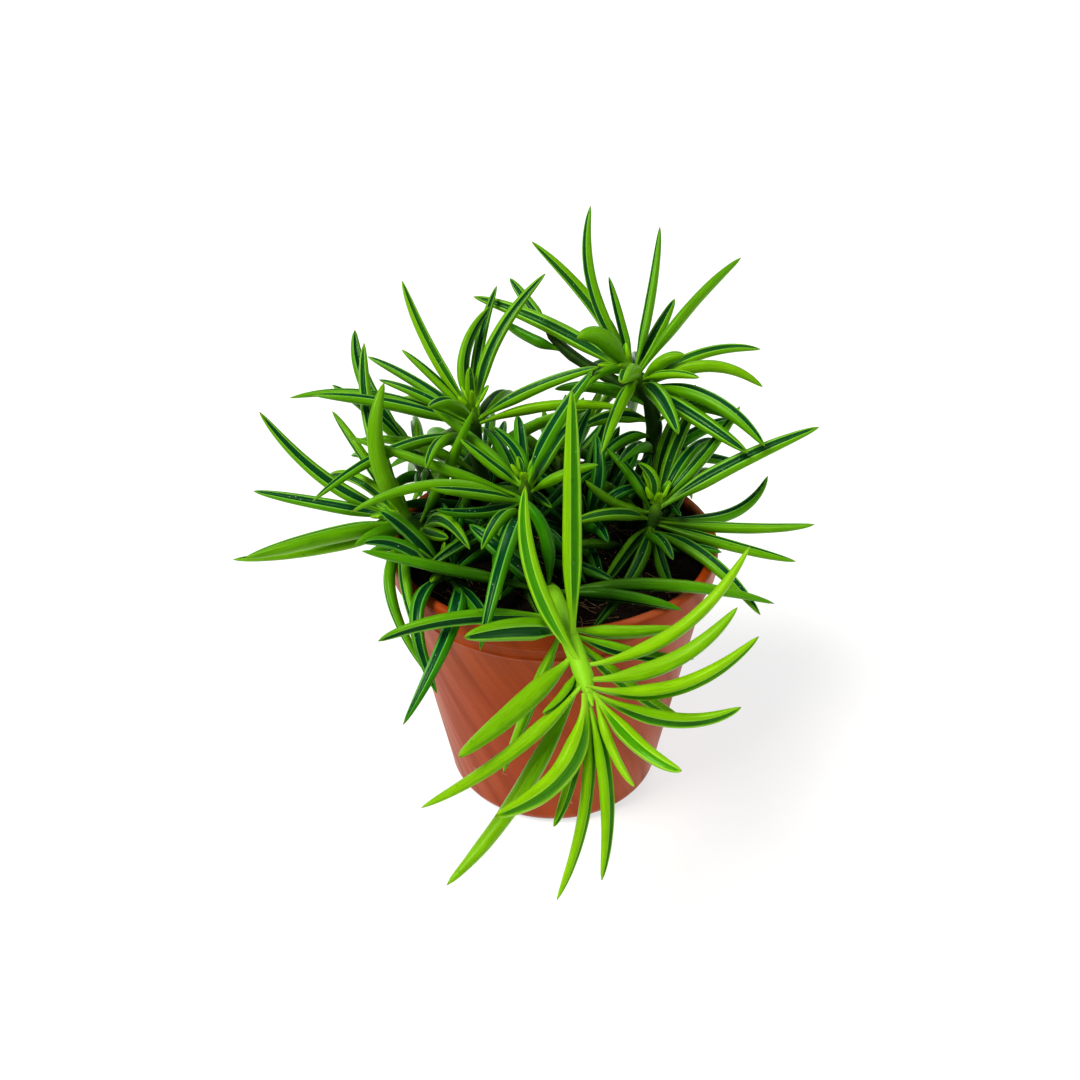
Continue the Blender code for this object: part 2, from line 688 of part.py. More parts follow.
def applied(obj):
    """The object's mesh with its modifiers applied, in their place."""
    bpy.context.view_layer.update()
    graph = bpy.context.evaluated_depsgraph_get()
    mesh = bpy.data.meshes.new_from_object(obj.evaluated_get(graph))
    obj.modifiers.clear()
    obj.data = mesh
    return obj


def arc(centre_r, centre_z, radius, first, last, count):
    """Points of a profile's rounded corner, in degrees from outward towards up."""
    angles = [math.radians(first + (last - first) * step / count) for step in range(count + 1)]
    return [(centre_r + radius * math.cos(angle), centre_z + radius * math.sin(angle)) for angle in angles]


def wall_radius(height):
    """The outer radius of the pot's tapered wall."""
    share = (height - FOOT_ROUNDING) / (POT_HEIGHT - LIP_HEIGHT - FOOT_ROUNDING)
    return FOOT_RADIUS + (WALL_TOP_RADIUS - FOOT_RADIUS) * share


def turned(name, profile, steps, collection, material):
    """A solid turned from a profile of (radius, height) points that starts and ends on the axis."""
    mesh = bpy.data.meshes.new(name)
    points = [(radius * MM, 0, height * MM) for radius, height in profile]
    mesh.from_pydata(points, [(i, i + 1) for i in range(len(points) - 1)], [])
    obj = new_object(name, mesh, collection, material)
    screw = obj.modifiers.new("Turn", "SCREW")
    screw.steps = steps
    screw.render_steps = steps
    screw.use_merge_vertices = True
    screw.merge_threshold = AXIS_WELD * MM
    screw.use_smooth_shade = True
    return obj


def build_pot(collection, cutters):
    lip_bottom = POT_HEIGHT - LIP_HEIGHT
    lip_middle = (LIP_RADIUS + LIP_INNER_RADIUS) / 2
    lip_round = (LIP_RADIUS - LIP_INNER_RADIUS) / 2
    ridge = lip_bottom - RIDGE_DROP
    foot_centre = FOOT_RADIUS - FOOT_ROUNDING
    profile = [(0, FLOOR_THICKNESS)]
    profile += arc(foot_centre, FOOT_ROUNDING, FOOT_ROUNDING - FLOOR_THICKNESS, -90, 0, INNER_FOOT_STEPS)
    profile += [(wall_radius(lip_bottom) - WALL_THICKNESS, lip_bottom)]
    profile += arc(lip_middle, POT_HEIGHT - lip_round, lip_round, 180, 0, LIP_STEPS)
    profile += [(LIP_RADIUS, lip_bottom + LIP_STEP), (LIP_RADIUS - LIP_STEP, lip_bottom)]
    profile += [(wall_radius(lip_bottom), lip_bottom - LIP_STEP)]
    profile += [(wall_radius(ridge + RIDGE_HALF), ridge + RIDGE_HALF)]
    profile += [(wall_radius(ridge) + RIDGE_HEIGHT, ridge)]
    profile += [(wall_radius(ridge - RIDGE_HALF), ridge - RIDGE_HALF)]
    profile += arc(foot_centre, FOOT_ROUNDING, FOOT_ROUNDING, 0, -90, OUTER_FOOT_STEPS)
    profile += [(0, 0)]
    material = new_material("terracotta_plastic", (0.42, 0.11, 0.035), 0.38)
    pot = applied(turned("pot", profile, POT_STEPS, collection, material))
    pot.data.set_sharp_from_angle(angle=math.radians(SHARP_ANGLE))
    for index in range(DRAIN_HOLES):
        angle = 2 * math.pi * (index + 0.5) / DRAIN_HOLES
        x = DRAIN_CIRCLE_RADIUS * math.cos(angle)
        y = DRAIN_CIRCLE_RADIUS * math.sin(angle)
        name = f"drain_hole_{index + 1}"
        upright_cutter(name, DRAIN_HOLE_RADIUS, x, y, -FLOOR_THICKNESS, 2 * FLOOR_THICKNESS, cutters)
    cut_by(pot, "Drain holes", cutters)


def soil_height(x, y):
    """The uneven top of the soil."""
    swell = math.sin(0.11 * x + 1.3) * math.cos(0.13 * y - 0.4) + 0.6 * math.sin(0.31 * x - 0.23 * y)
    return SOIL_LEVEL + 0.6 * SOIL_BUMP * swell


def build_soil(collection, cutters):
    """A plug of soil just inside the pot's wall, with an uneven top and a plain hole for each stem."""
    inner = wall_radius(SOIL_LEVEL) - WALL_THICKNESS - GAP
    foot = FOOT_RADIUS - FOOT_ROUNDING
    profile = [(0, SOIL_LEVEL)]
    profile += [(inner * ring / SOIL_RINGS, SOIL_LEVEL) for ring in range(1, SOIL_RINGS)]
    profile += [(inner, SOIL_LEVEL - SOIL_EDGE_DROP), (FOOT_RADIUS - FLOOR_THICKNESS - 2 * GAP, FOOT_ROUNDING)]
    profile += [(foot, FLOOR_THICKNESS + GAP), (0, FLOOR_THICKNESS + GAP)]
    material = new_material("potting_soil", (0.03, 0.018, 0.01), 0.95)
    soil = applied(turned("soil", profile, POT_STEPS, collection, material))
    for vertex in soil.data.vertices:
        x, y, z = (value / MM for value in vertex.co)
        if z > SOIL_LEVEL - SOIL_EDGE_DROP / 2:
            vertex.co.z = soil_height(x, y) * MM
    for name, stem in STEMS.items():
        if "joins" not in stem:
            x, y, foot = stem["route"][0]
            radius = stem["radii"][0] + STEM_HOLE_GAP
            upright_cutter(f"hole_for_{name}", radius, x, y, foot - GAP, SOIL_LEVEL + HOLE_RISE, cutters)
    cut_by(soil, "Stem holes", cutters)


def stem_mesh(name, curve, radii):
    """A tapered tube along the stem's curve, closed at both ends."""
    data = bpy.data.curves.new(name, "CURVE")
    data.dimensions = "3D"
    data.bevel_depth = MM
    data.bevel_resolution = 2
    data.use_fill_caps = True
    spline = data.splines.new("POLY")
    picks = np.linspace(0, len(curve) - 1, STEM_POINTS)
    spline.points.add(STEM_POINTS - 1)
    for index, (point, pick) in enumerate(zip(spline.points, picks)):
        place = [float(np.interp(pick, np.arange(len(curve)), curve[:, axis])) for axis in range(3)]
        share = index / (STEM_POINTS - 1)
        point.co = (*(value * MM for value in place), 1)
        point.radius = radii[0] + (radii[1] - radii[0]) * share
    spline.points[-1].radius *= STEM_TIP_SHARE
    obj = bpy.data.objects.new(name, data)
    bpy.context.scene.collection.objects.link(obj)
    bpy.context.view_layer.update()
    graph = bpy.context.evaluated_depsgraph_get()
    mesh = bpy.data.meshes.new_from_object(obj.evaluated_get(graph))
    bpy.data.objects.remove(obj, do_unlink=True)
    shape = bmesh.new()
    shape.from_mesh(mesh)
    bmesh.ops.remove_doubles(shape, verts=shape.verts, dist=WELD_DISTANCE * MM)
    bmesh.ops.recalc_face_normals(shape, faces=shape.faces)
    shape.to_mesh(mesh)
    shape.free()
    return mesh


def leaf_section(frame, half):
    """Four corners of a leaf's section: two margins, the keel below and the window groove above."""
    point, side, upper = frame
    keel = max(KEEL_DROP * half, LEAF_THINNEST - GROOVE_LIFT * half)
    corners = (
        point - side * half + upper * MARGIN_LIFT * half,
        point - upper * keel,
        point + side * half + upper * MARGIN_LIFT * half,
        point + upper * GROOVE_LIFT * half,
    )
    return [corner * MM for corner in corners]


def leaf_mesh(name, leaf):
    """A leaf lofted through its sections, which change from a stalk to a boat shape to a point."""
    stations = LEAF_STATIONS if np.linalg.norm(leaf["reach"]) > SHORT_LEAF else SHORT_LEAF_STATIONS
    halves = leaf_half_width(stations, leaf["width"])

    def build(shape):
        rings = [
            [shape.verts.new(corner) for corner in leaf_section(frame, half)]
            for frame, half in zip(leaf_frames(leaf, stations), halves)
        ]
        for lower, higher in zip(rings, rings[1:]):
            for index in range(4):
                following = (index + 1) % 4
                a, b, c, d = lower[index], lower[following], higher[following], higher[index]
                shape.faces.new((a, b, c))
                shape.faces.new((a, c, d))
        for ring in (rings[0], rings[-1]):
            shape.faces.new((ring[3], ring[0], ring[1]))
            shape.faces.new((ring[3], ring[1], ring[2]))

    return mesh_from(name, build)


def keep_largest_shell(mesh):
    """Fills the pockets that leaves enclose between them and drops loose scraps, leaving one closed surface."""
    shape = bmesh.new()
    shape.from_mesh(mesh)
    unseen = set(shape.faces)
    shells = []
    while unseen:
        shell = [unseen.pop()]
        for face in shell:
            for edge in face.edges:
                for other in edge.link_faces:
                    if other in unseen:
                        unseen.remove(other)
                        shell.append(other)
        shells.append(shell)
    shells.sort(key=len)
    loose = [face for shell in shells[:-1] for face in shell]
    bmesh.ops.delete(shape, geom=loose, context="FACES")
    shape.to_mesh(mesh)
    shape.free()


def build_stem(name, curves, leaves, collection):
    """One leafy stem: its tube, its side shoots and all its leaves, joined into one solid."""
    stem = STEMS[name]
    material = new_material(f"{name}_green", stem["colour"], 0.4)
    pieces = bpy.data.collections.new(f"{name}_pieces")
    bpy.context.scene.collection.children.link(pieces)
    obj = new_object(name, stem_mesh(name, curves[name], stem["radii"]), collection, material)
    for shoot, values in STEMS.items():
        if values.get("joins") == name:
            new_object(shoot, stem_mesh(shoot, curves[shoot], values["radii"]), pieces)
    for index, leaf in enumerate(leaf for leaf in leaves if leaf["node"] == name):
        new_object(f"{name}_leaf_{index + 1}", leaf_mesh(f"{name}_leaf_{index + 1}", leaf), pieces)
    union = obj.modifiers.new("Leaves", "BOOLEAN")
    union.operation = "UNION"
    union.operand_type = "COLLECTION"
    union.collection = pieces
    applied(obj)
    keep_largest_shell(obj.data)
    obj.data.materials.clear()
    obj.data.materials.append(material)
    for piece in list(pieces.objects):
        bpy.data.objects.remove(piece, do_unlink=True)
    bpy.data.collections.remove(pieces)
    return obj


def main():
    clear_scene()
    plant = new_collection("potted_peperomia")
    drain_cutters = new_collection("drain_cutters")
    stem_cutters = new_collection("stem_hole_cutters")
    build_pot(plant, drain_cutters)
    build_soil(plant, stem_cutters)
    curves, leaves = grow_plant()
    settle(curves, leaves)
    for name, stem in STEMS.items():
        if "joins" not in stem:
            build_stem(name, curves, leaves, plant)


main()
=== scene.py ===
import math
import random

import bmesh
import bpy
import numpy as np
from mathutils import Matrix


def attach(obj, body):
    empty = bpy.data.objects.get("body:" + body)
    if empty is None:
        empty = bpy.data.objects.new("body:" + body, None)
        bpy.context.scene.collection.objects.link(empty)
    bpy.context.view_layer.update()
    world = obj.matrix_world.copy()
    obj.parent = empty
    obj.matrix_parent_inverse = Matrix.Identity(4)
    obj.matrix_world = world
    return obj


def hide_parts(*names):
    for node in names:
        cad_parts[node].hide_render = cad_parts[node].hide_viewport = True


# The looks of a potted peperomia: glossy pod-shaped leaves in crowns on branching stems, in a plastic pot.
# The plant's plan is in millimetres, as it was measured, and everything that becomes a mesh is in metres.
# +X is to the viewer's right, -Y is towards the viewer and +Z is up, from the centre of the pot's underside.

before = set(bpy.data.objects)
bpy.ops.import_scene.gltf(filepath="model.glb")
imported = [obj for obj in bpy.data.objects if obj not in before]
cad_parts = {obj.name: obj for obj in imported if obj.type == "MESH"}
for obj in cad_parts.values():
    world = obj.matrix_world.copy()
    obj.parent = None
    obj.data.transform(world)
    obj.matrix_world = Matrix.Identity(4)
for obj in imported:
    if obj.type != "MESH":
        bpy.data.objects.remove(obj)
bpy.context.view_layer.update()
mm = 0.001

# Camera, lights and floor
shot = {
    "tilt": 36.7,  # degrees that the view looks down
    "distance": 450.0,
    "target": (0.0, 0.0, 60.0),
    "frame": 1080,  # the photograph's side, in pixels
    "focalPixels": 1153.8,
    "targetPixel": (553.8, 638.7),
    "sensor": 36.0,
    "nearest": 0.01,
}
studio = {
    "floorColour": (176, 176, 174),
    "floorGlow": 0.55,
    "contrast": "Medium High Contrast",
    "floorRadius": 30.0,
    "floorSides": 96,
    "skyColour": (246, 248, 255),
    "skyStrength": 0.24,
    # name: where it shines from, angular size in degrees, strength, colour
    "suns": {
        "windowLight": ((-0.85, -0.45, 1.25), 30.0, 2.7, (255, 252, 246)),
        "fillLight": ((1.2, -0.9, 0.8), 30.0, 0.55, (244, 248, 255)),
        "backLight": ((0.3, 1.0, 1.2), 30.0, 0.4, (250, 252, 255)),
    },
}


def paint(red, green, blue):
    # a screen colour, 0 to 255, as the light values that shaders take
    def light(level):
        share = level / 255
        return share / 12.92 if share <= 0.04045 else ((share + 0.055) / 1.055) ** 2.4

    return (light(red), light(green), light(blue), 1.0)


def addCamera():
    tilt = math.radians(shot["tilt"])
    target = [value * mm for value in shot["target"]]
    away = shot["distance"] * mm
    lens = bpy.data.cameras.new("photoCamera")
    lens.sensor_width = shot["sensor"]
    lens.lens = shot["focalPixels"] / shot["frame"] * shot["sensor"]
    middle = shot["frame"] / 2
    lens.shift_x = (middle - shot["targetPixel"][0]) / shot["frame"]
    lens.shift_y = (shot["targetPixel"][1] - middle) / shot["frame"]
    lens.clip_start = shot["nearest"]
    camera = bpy.data.objects.new("photoCamera", lens)
    camera.location = (target[0], target[1] - away * math.cos(tilt), target[2] + away * math.sin(tilt))
    camera.rotation_euler = (math.pi / 2 - tilt, 0, 0)
    bpy.context.scene.collection.objects.link(camera)
    bpy.context.scene.camera = camera


def addStudio():
    bpy.context.scene.view_settings.view_transform = "Standard"
    bpy.context.scene.view_settings.look = studio["contrast"]
    world = bpy.data.worlds.new("paleStudio")
    world.use_nodes = True
    sky = world.node_tree.nodes["Background"]
    sky.inputs["Color"].default_value = paint(*studio["skyColour"])
    sky.inputs["Strength"].default_value = studio["skyStrength"]
    bpy.context.scene.world = world
    for name, (place, size, strength, colour) in studio["suns"].items():
        light = bpy.data.lights.new(name, "SUN")
        light.angle = math.radians(size)
        light.energy = strength
        light.color = paint(*colour)[:3]
        lamp = bpy.data.objects.new(name, light)
        lamp.location = place
        turn = math.atan2(-place[1], -place[0])
        lean = math.acos(place[2] / np.linalg.norm(place))
        lamp.rotation_euler = (lean, 0, turn - math.pi / 2)
        bpy.context.scene.collection.objects.link(lamp)
    shape = bmesh.new()
    sides, radius = studio["floorSides"], studio["floorRadius"]
    bmesh.ops.create_circle(shape, cap_ends=True, segments=sides, radius=radius)
    floor = newObject("floor", meshOf("floor", shape))
    bench = newMaterial("paleFloor")
    bench.finish({
        "Base Color": paint(*studio["floorColour"]),
        "Roughness": 0.9,
        "Specular IOR Level": 0.1,
        "Emission Color": (1.0, 1.0, 1.0, 1.0),
        "Emission Strength": studio["floorGlow"],
    })
    floor.data.materials.append(bench.material)
    print("stage: camera, lights and floor are in place")


# Node trees: Python sums on sockets, and one method for any other node
class Wire:
    # a node's socket, which sums and products can be written on
    def __init__(self, bench, socket):
        self.bench = bench
        self.socket = socket

    def out(self, name):
        return Wire(self.bench, self.bench.pick(self.socket.node.outputs, name))

    def __add__(self, other):
        return self.bench.maths("ADD", self, other)

    def __radd__(self, other):
        return self.bench.maths("ADD", other, self)

    def __sub__(self, other):
        return self.bench.maths("SUBTRACT", self, other)

    def __rsub__(self, other):
        return self.bench.maths("SUBTRACT", other, self)

    def __mul__(self, other):
        return self.bench.maths("MULTIPLY", self, other)

    def __rmul__(self, other):
        return self.bench.maths("MULTIPLY", other, self)

    def __truediv__(self, other):
        return self.bench.maths("DIVIDE", self, other)

    def __pow__(self, other):
        return self.bench.maths("POWER", self, other)


class Bench:
    # where the nodes of one tree are put together
    def __init__(self, tree, material=None):
        self.tree = tree
        self.material = material

    def pick(self, sockets, name):
        if isinstance(name, int):
            return sockets[name]
        found = (socket for socket in sockets if socket.enabled and name in (socket.name, socket.identifier))
        return next(found)

    def node(self, kind, settings=None, sockets=None, output=0):
        made = self.tree.nodes.new(kind)
        for name, value in (settings or {}).items():
            if name == "stops":
                ramp = made.color_ramp
                for index, (place, colour) in enumerate(value):
                    stop = ramp.elements[index] if index < 2 else ramp.elements.new(place)
                    stop.position = place
                    stop.color = colour
            else:
                setattr(made, name, value)
        for name, value in (sockets or {}).items():
            socket = self.pick(made.inputs, name)
            if isinstance(value, Wire):
                self.tree.links.new(value.socket, socket)
            else:
                socket.default_value = value
        return Wire(self, self.pick(made.outputs, output)) if made.outputs else made

    def maths(self, operation, first, second=0.0):
        return self.node("ShaderNodeMath", {"operation": operation}, {0: first, 1: second})

    def vector(self, operation, first, second=(0, 0, 0), output=0):
        return self.node("ShaderNodeVectorMath", {"operation": operation}, {0: first, 1: second}, output)

    def scaled(self, first, share):
        return self.node("ShaderNodeVectorMath", {"operation": "SCALE"}, {0: first, "Scale": share})

    def joined(self, x=0.0, y=0.0, z=0.0):
        return self.node("ShaderNodeCombineXYZ", None, {"X": x, "Y": y, "Z": z})

    def axis(self, place, name):
        return self.node("ShaderNodeSeparateXYZ", None, {"Vector": place}, name)

    def fromAxis(self, place):
        # how far a place lies from the upright axis
        return self.vector("LENGTH", self.vector("MULTIPLY", place, (1, 1, 0)), output="Value")

    def between(self, value, low, high, first=0.0, last=1.0):
        # value between low and high, smoothly, as a number from first to last
        sockets = {"Value": value, "From Min": low, "From Max": high, "To Min": first, "To Max": last}
        return self.node("ShaderNodeMapRange", {"interpolation_type": "SMOOTHSTEP"}, sockets)

    def blend(self, share, first, second, way="MIX"):
        settings = {"data_type": "RGBA", "blend_type": way, "clamp_factor": True}
        return self.node("ShaderNodeMix", settings, {"Factor": share, "A": first, "B": second}, "Result")

    def coat(self, base, mask, share, colour):
        # a share of a screen colour laid over base, where mask is 1
        return self.blend(mask * share, base, paint(*colour))

    def noise(self, coordinates, scale, detail, roughness=0.5):
        sockets = {"Vector": coordinates, "Scale": scale, "Detail": detail, "Roughness": roughness}
        return self.node("ShaderNodeTexNoise", None, sockets)

    def patches(self, coordinates, scale, detail, low, high, roughness=0.5):
        # soft patches: where a noise passes from low to high
        return self.between(self.noise(coordinates, scale, detail, roughness), low, high)

    def dots(self, coordinates, scale, low, high):
        # soft dots, full nearer than high to their middles and gone beyond low
        cells = self.node("ShaderNodeTexVoronoi", None, {"Vector": coordinates, "Scale": scale})
        return self.between(cells, low, high)

    def mapped(self, coordinates, scale):
        return self.node("ShaderNodeMapping", None, {"Vector": coordinates, "Scale": scale})

    def clamped(self, value):
        return self.node("ShaderNodeClamp", None, {"Value": value})

    def attribute(self, name):
        return self.node("ShaderNodeAttribute", {"attribute_name": name}, None, "Fac")

    def objectPlace(self):
        return self.node("ShaderNodeTexCoord", None, None, "Object")

    def bump(self, height, depth, strength):
        return self.node("ShaderNodeBump", None, {"Height": height, "Distance": depth, "Strength": strength})

    def finish(self, sockets):
        surface = self.node("ShaderNodeBsdfPrincipled", None, sockets)
        self.node("ShaderNodeOutputMaterial", None, {"Surface": surface})
        return self.material


def newMaterial(name):
    material = bpy.data.materials.new(name)
    material.use_nodes = True
    material.node_tree.nodes.clear()
    return Bench(material.node_tree, material)


def newRecipe(name, sizes):
    # a Geometry Nodes tree with one named input for each size, and its inputs as wires
    kinds = {float: "NodeSocketFloat", int: "NodeSocketInt", bpy.types.Material: "NodeSocketMaterial"}
    tree = bpy.data.node_groups.new(name, "GeometryNodeTree")
    tree.interface.new_socket("Geometry", in_out="INPUT", socket_type="NodeSocketGeometry")
    tree.interface.new_socket("Geometry", in_out="OUTPUT", socket_type="NodeSocketGeometry")
    for label, value in sizes.items():
        tree.interface.new_socket(label, in_out="INPUT", socket_type=kinds[type(value)])
    bench = Bench(tree)
    start = tree.nodes.new("NodeGroupInput")
    wires = {socket.name: Wire(bench, socket) for socket in start.outputs if socket.name}
    return bench, wires


def skinned(bench, geometry, skin):
    return bench.node("GeometryNodeSetMaterial", None, {"Geometry": geometry, "Material": skin})


def endRecipe(bench, geometry, skin=None):
    # ends a recipe in real geometry, with one skin unless its parts have theirs already
    whole = bench.node("GeometryNodeRealizeInstances", None, {"Geometry": geometry})
    if skin:
        whole = skinned(bench, whole, skin)
    bench.node("NodeGroupOutput", None, {"Geometry": whole})
    return bench


def kept(bench, geometry, name, value, kind="FLOAT"):
    # stores value on every point of geometry, under name
    sockets = {"Geometry": geometry, "Name": name, "Value": value}
    return bench.node("GeometryNodeStoreNamedAttribute", {"data_type": kind, "domain": "POINT"}, sockets)


def named(bench, name, kind="FLOAT"):
    return bench.node("GeometryNodeInputNamedAttribute", {"data_type": kind}, {"Name": name})


def keepResult(obj):
    # the object's mesh becomes what its modifiers make of it
    graph = bpy.context.evaluated_depsgraph_get()
    result = obj.evaluated_get(graph)
    mesh = bpy.data.meshes.new_from_object(result, preserve_all_data_layers=True, depsgraph=graph)
    obj.modifiers.clear()
    obj.data = mesh


def cook(obj, bench, sizes):
    # runs a recipe on an object and keeps the result as its plain mesh
    modifier = obj.modifiers.new(bench.tree.name, "NODES")
    modifier.node_group = bench.tree
    for socket in bench.tree.interface.items_tree:
        if socket.in_out == "INPUT" and socket.name in sizes:
            modifier[socket.identifier] = sizes[socket.name]
    keepResult(obj)
    return obj


def newObject(name, mesh):
    obj = bpy.data.objects.new(name, mesh)
    bpy.context.scene.collection.objects.link(obj)
    return obj


def meshOf(name, shape):
    mesh = bpy.data.meshes.new(name)
    shape.to_mesh(mesh)
    shape.free()
    return mesh


def turnOutward(mesh):
    shape = bmesh.new()
    shape.from_mesh(mesh)
    bmesh.ops.recalc_face_normals(shape, faces=shape.faces)
    for face in shape.faces:
        face.smooth = True
    shape.to_mesh(mesh)
    shape.free()


def settleOn(piece, slot, *nodes):
    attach(piece, "root")
    if nodes:
        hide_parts(*nodes)


# Pot
pot = {
    "height": 107.0,
    "lipRadius": 60.0,
    "lipHeight": 8.0,
    "lipInner": 56.0,
    "lipEdge": 0.5,
    "lipDraft": 0.05,
    "lipDraftHeights": (4.0, 2.0),
    "innerCorner": (-0.2, 0.6),  # where wall and lip meet: out from the wall, up from the lip's edge
    "outerCorner": ((0.45, 0.0), (0.05, -0.35)),
    "wallTop": 58.2,
    "wallStart": 1.2,
    "foot": 42.3,
    "footRounding": 7.0,
    "wall": 1.5,
    "floor": 2.0,
    "innerHeights": (20, 40, 60, 80),
    "outerHeights": (80, 65, 50, 35, 20, 12),
    "cornerSteps": {"innerFoot": 8, "lip": 18, "lipEdge": 4, "outerFoot": 10},
    "ridgeDrop": 5.5,
    "ridgeHeight": 0.45,
    "ridgeHalf": 0.9,
    "ridgeSpread": 1.4,
    "ridgeSteps": 8,
    "footRingRadius": 33.0,
    "footRingSlope": 0.6,
    "footRingDepth": 0.5,
    "steps": 192,
    "weld": 0.00001,
    "drainHoles": 6,
    "drainRadius": 3.5,
    "drainCircle": 25.0,
    "drainSides": 32,
    "sharpAngle": 50.0,
}


def wallRadius(height):
    share = (height - pot["footRounding"]) / (pot["height"] - pot["lipHeight"] - pot["footRounding"])
    return pot["foot"] + (pot["wallTop"] - pot["foot"]) * share


def corner(centreR, centreZ, radius, first, last, count):
    # points round a corner of a profile, in degrees from outward towards up
    angles = [math.radians(first + (last - first) * step / count) for step in range(count + 1)]
    return [(centreR + radius * math.cos(angle), centreZ + radius * math.sin(angle)) for angle in angles]


def turned(name, profile, steps):
    # a mesh turned round the upright axis from a profile of radii and heights that ends on the axis
    mesh = bpy.data.meshes.new(name)
    points = [(radius * mm, 0, height * mm) for radius, height in profile]
    mesh.from_pydata(points, [(index, index + 1) for index in range(len(points) - 1)], [])
    obj = newObject(name, mesh)
    screw = obj.modifiers.new("turn", "SCREW")
    screw.steps = steps
    screw.render_steps = steps
    screw.use_merge_vertices = True
    screw.merge_threshold = pot["weld"]
    keepResult(obj)
    return obj


def potProfile():
    steps = pot["cornerSteps"]
    wall, rounding, edge = pot["wall"], pot["footRounding"], pot["lipEdge"]
    lipBottom = pot["height"] - pot["lipHeight"]
    lipMiddle = (pot["lipRadius"] + pot["lipInner"]) / 2
    lipRound = (pot["lipRadius"] - pot["lipInner"]) / 2
    ridge = lipBottom - pot["ridgeDrop"]
    footCentre = pot["foot"] - rounding
    wallUnderLip = wallRadius(lipBottom)
    # up the inside
    profile = [(0, pot["floor"]), (footCentre * 0.5, pot["floor"])]
    profile += corner(footCentre, rounding, rounding - pot["floor"], -90, 0, steps["innerFoot"])
    profile += [(wallRadius(height) - wall, height) for height in (*pot["innerHeights"], lipBottom - 1)]
    out, up = pot["innerCorner"]
    profile += [(wallUnderLip - wall + out, lipBottom + up)]
    # over the lip, and down the outside with its ridge line
    profile += corner(lipMiddle, pot["height"] - lipRound, lipRound, 180, 0, steps["lip"])
    profile += [(pot["lipRadius"] - pot["lipDraft"], lipBottom + height) for height in pot["lipDraftHeights"]]
    profile += corner(pot["lipRadius"] - edge, lipBottom + edge, edge, 0, -90, steps["lipEdge"])
    profile += [(wallUnderLip + out, lipBottom + up) for out, up in pot["outerCorner"]]
    profile += [(wallRadius(lipBottom - pot["wallStart"]), lipBottom - pot["wallStart"])]
    for step in range(pot["ridgeSteps"] + 1):
        share = 2 * step / pot["ridgeSteps"] - 1
        height = ridge - share * pot["ridgeHalf"] * pot["ridgeSpread"]
        swell = 0.5 + 0.5 * math.cos(math.pi * share)
        profile.append((wallRadius(height) + pot["ridgeHeight"] * swell, height))
    profile += [(wallRadius(height), height) for height in pot["outerHeights"]]
    profile += corner(footCentre, rounding, rounding, 0, -90, steps["outerFoot"])
    # the underside
    ring, depth = pot["footRingRadius"], pot["footRingDepth"]
    profile += [(ring, 0), (ring - pot["footRingSlope"], depth), (0, depth)]
    return profile


plastic = {
    "colour": (152, 58, 6),
    # what is laid over it: share and colour
    "warm": (0.6, (174, 76, 10)),
    "dull": (0.55, (118, 40, 6)),
    "scratch": (0.4, (222, 160, 138)),
    "dust": (0.5, (228, 196, 176)),
    # painted shade inside the pot, below the lip: share and colour
    "stain": (0.93, (30, 15, 8)),
    # painted highlight along the top of the lip: share and colour
    "worn": (0.45, (206, 124, 88)),
    # patches: scale, detail, where they start and are full, and roughness. Dots have no detail
    "clouds": (22, 2, 0.35, 0.7),
    "smears": (95, 3, 0.38, 0.72, 0.55),
    "scratches": (900, 2, 0.69, 0.74, 0.4),
    "scratchedPatches": (34, 1, 0.52, 0.62),
    "dustDots": (210, 0.10, 0.05),
    "dustyPatches": (60, 1, 0.6, 0.68),
    "lipHighlightPatches": (60, 2, 0.35, 0.65),
    "smearRun": (0.055, 0.55, 0.1),  # how smears run: with the way round, with height, and their stretch
    "scratchRun": (0.006, 0.0004),
    "innerShadeWall": (-0.4, -0.8),  # the painted shade is inside the wall, in shares of its thickness
    "innerShadeTop": (0.001, 0.006),  # and below the lip's top, in metres
    "innerShadeWander": 0.003,
    "lipHighlightTop": (0.0016, 0.0002),
    "grain": (1500, 2),
    "scratchGrain": (500, 2),
    "scratchDepth": 0.7,
    "relief": (0.00012, 0.45),
    "roughness": 0.36,
    "smearRoughness": 0.14,
    "scratchRoughness": 0.1,
}


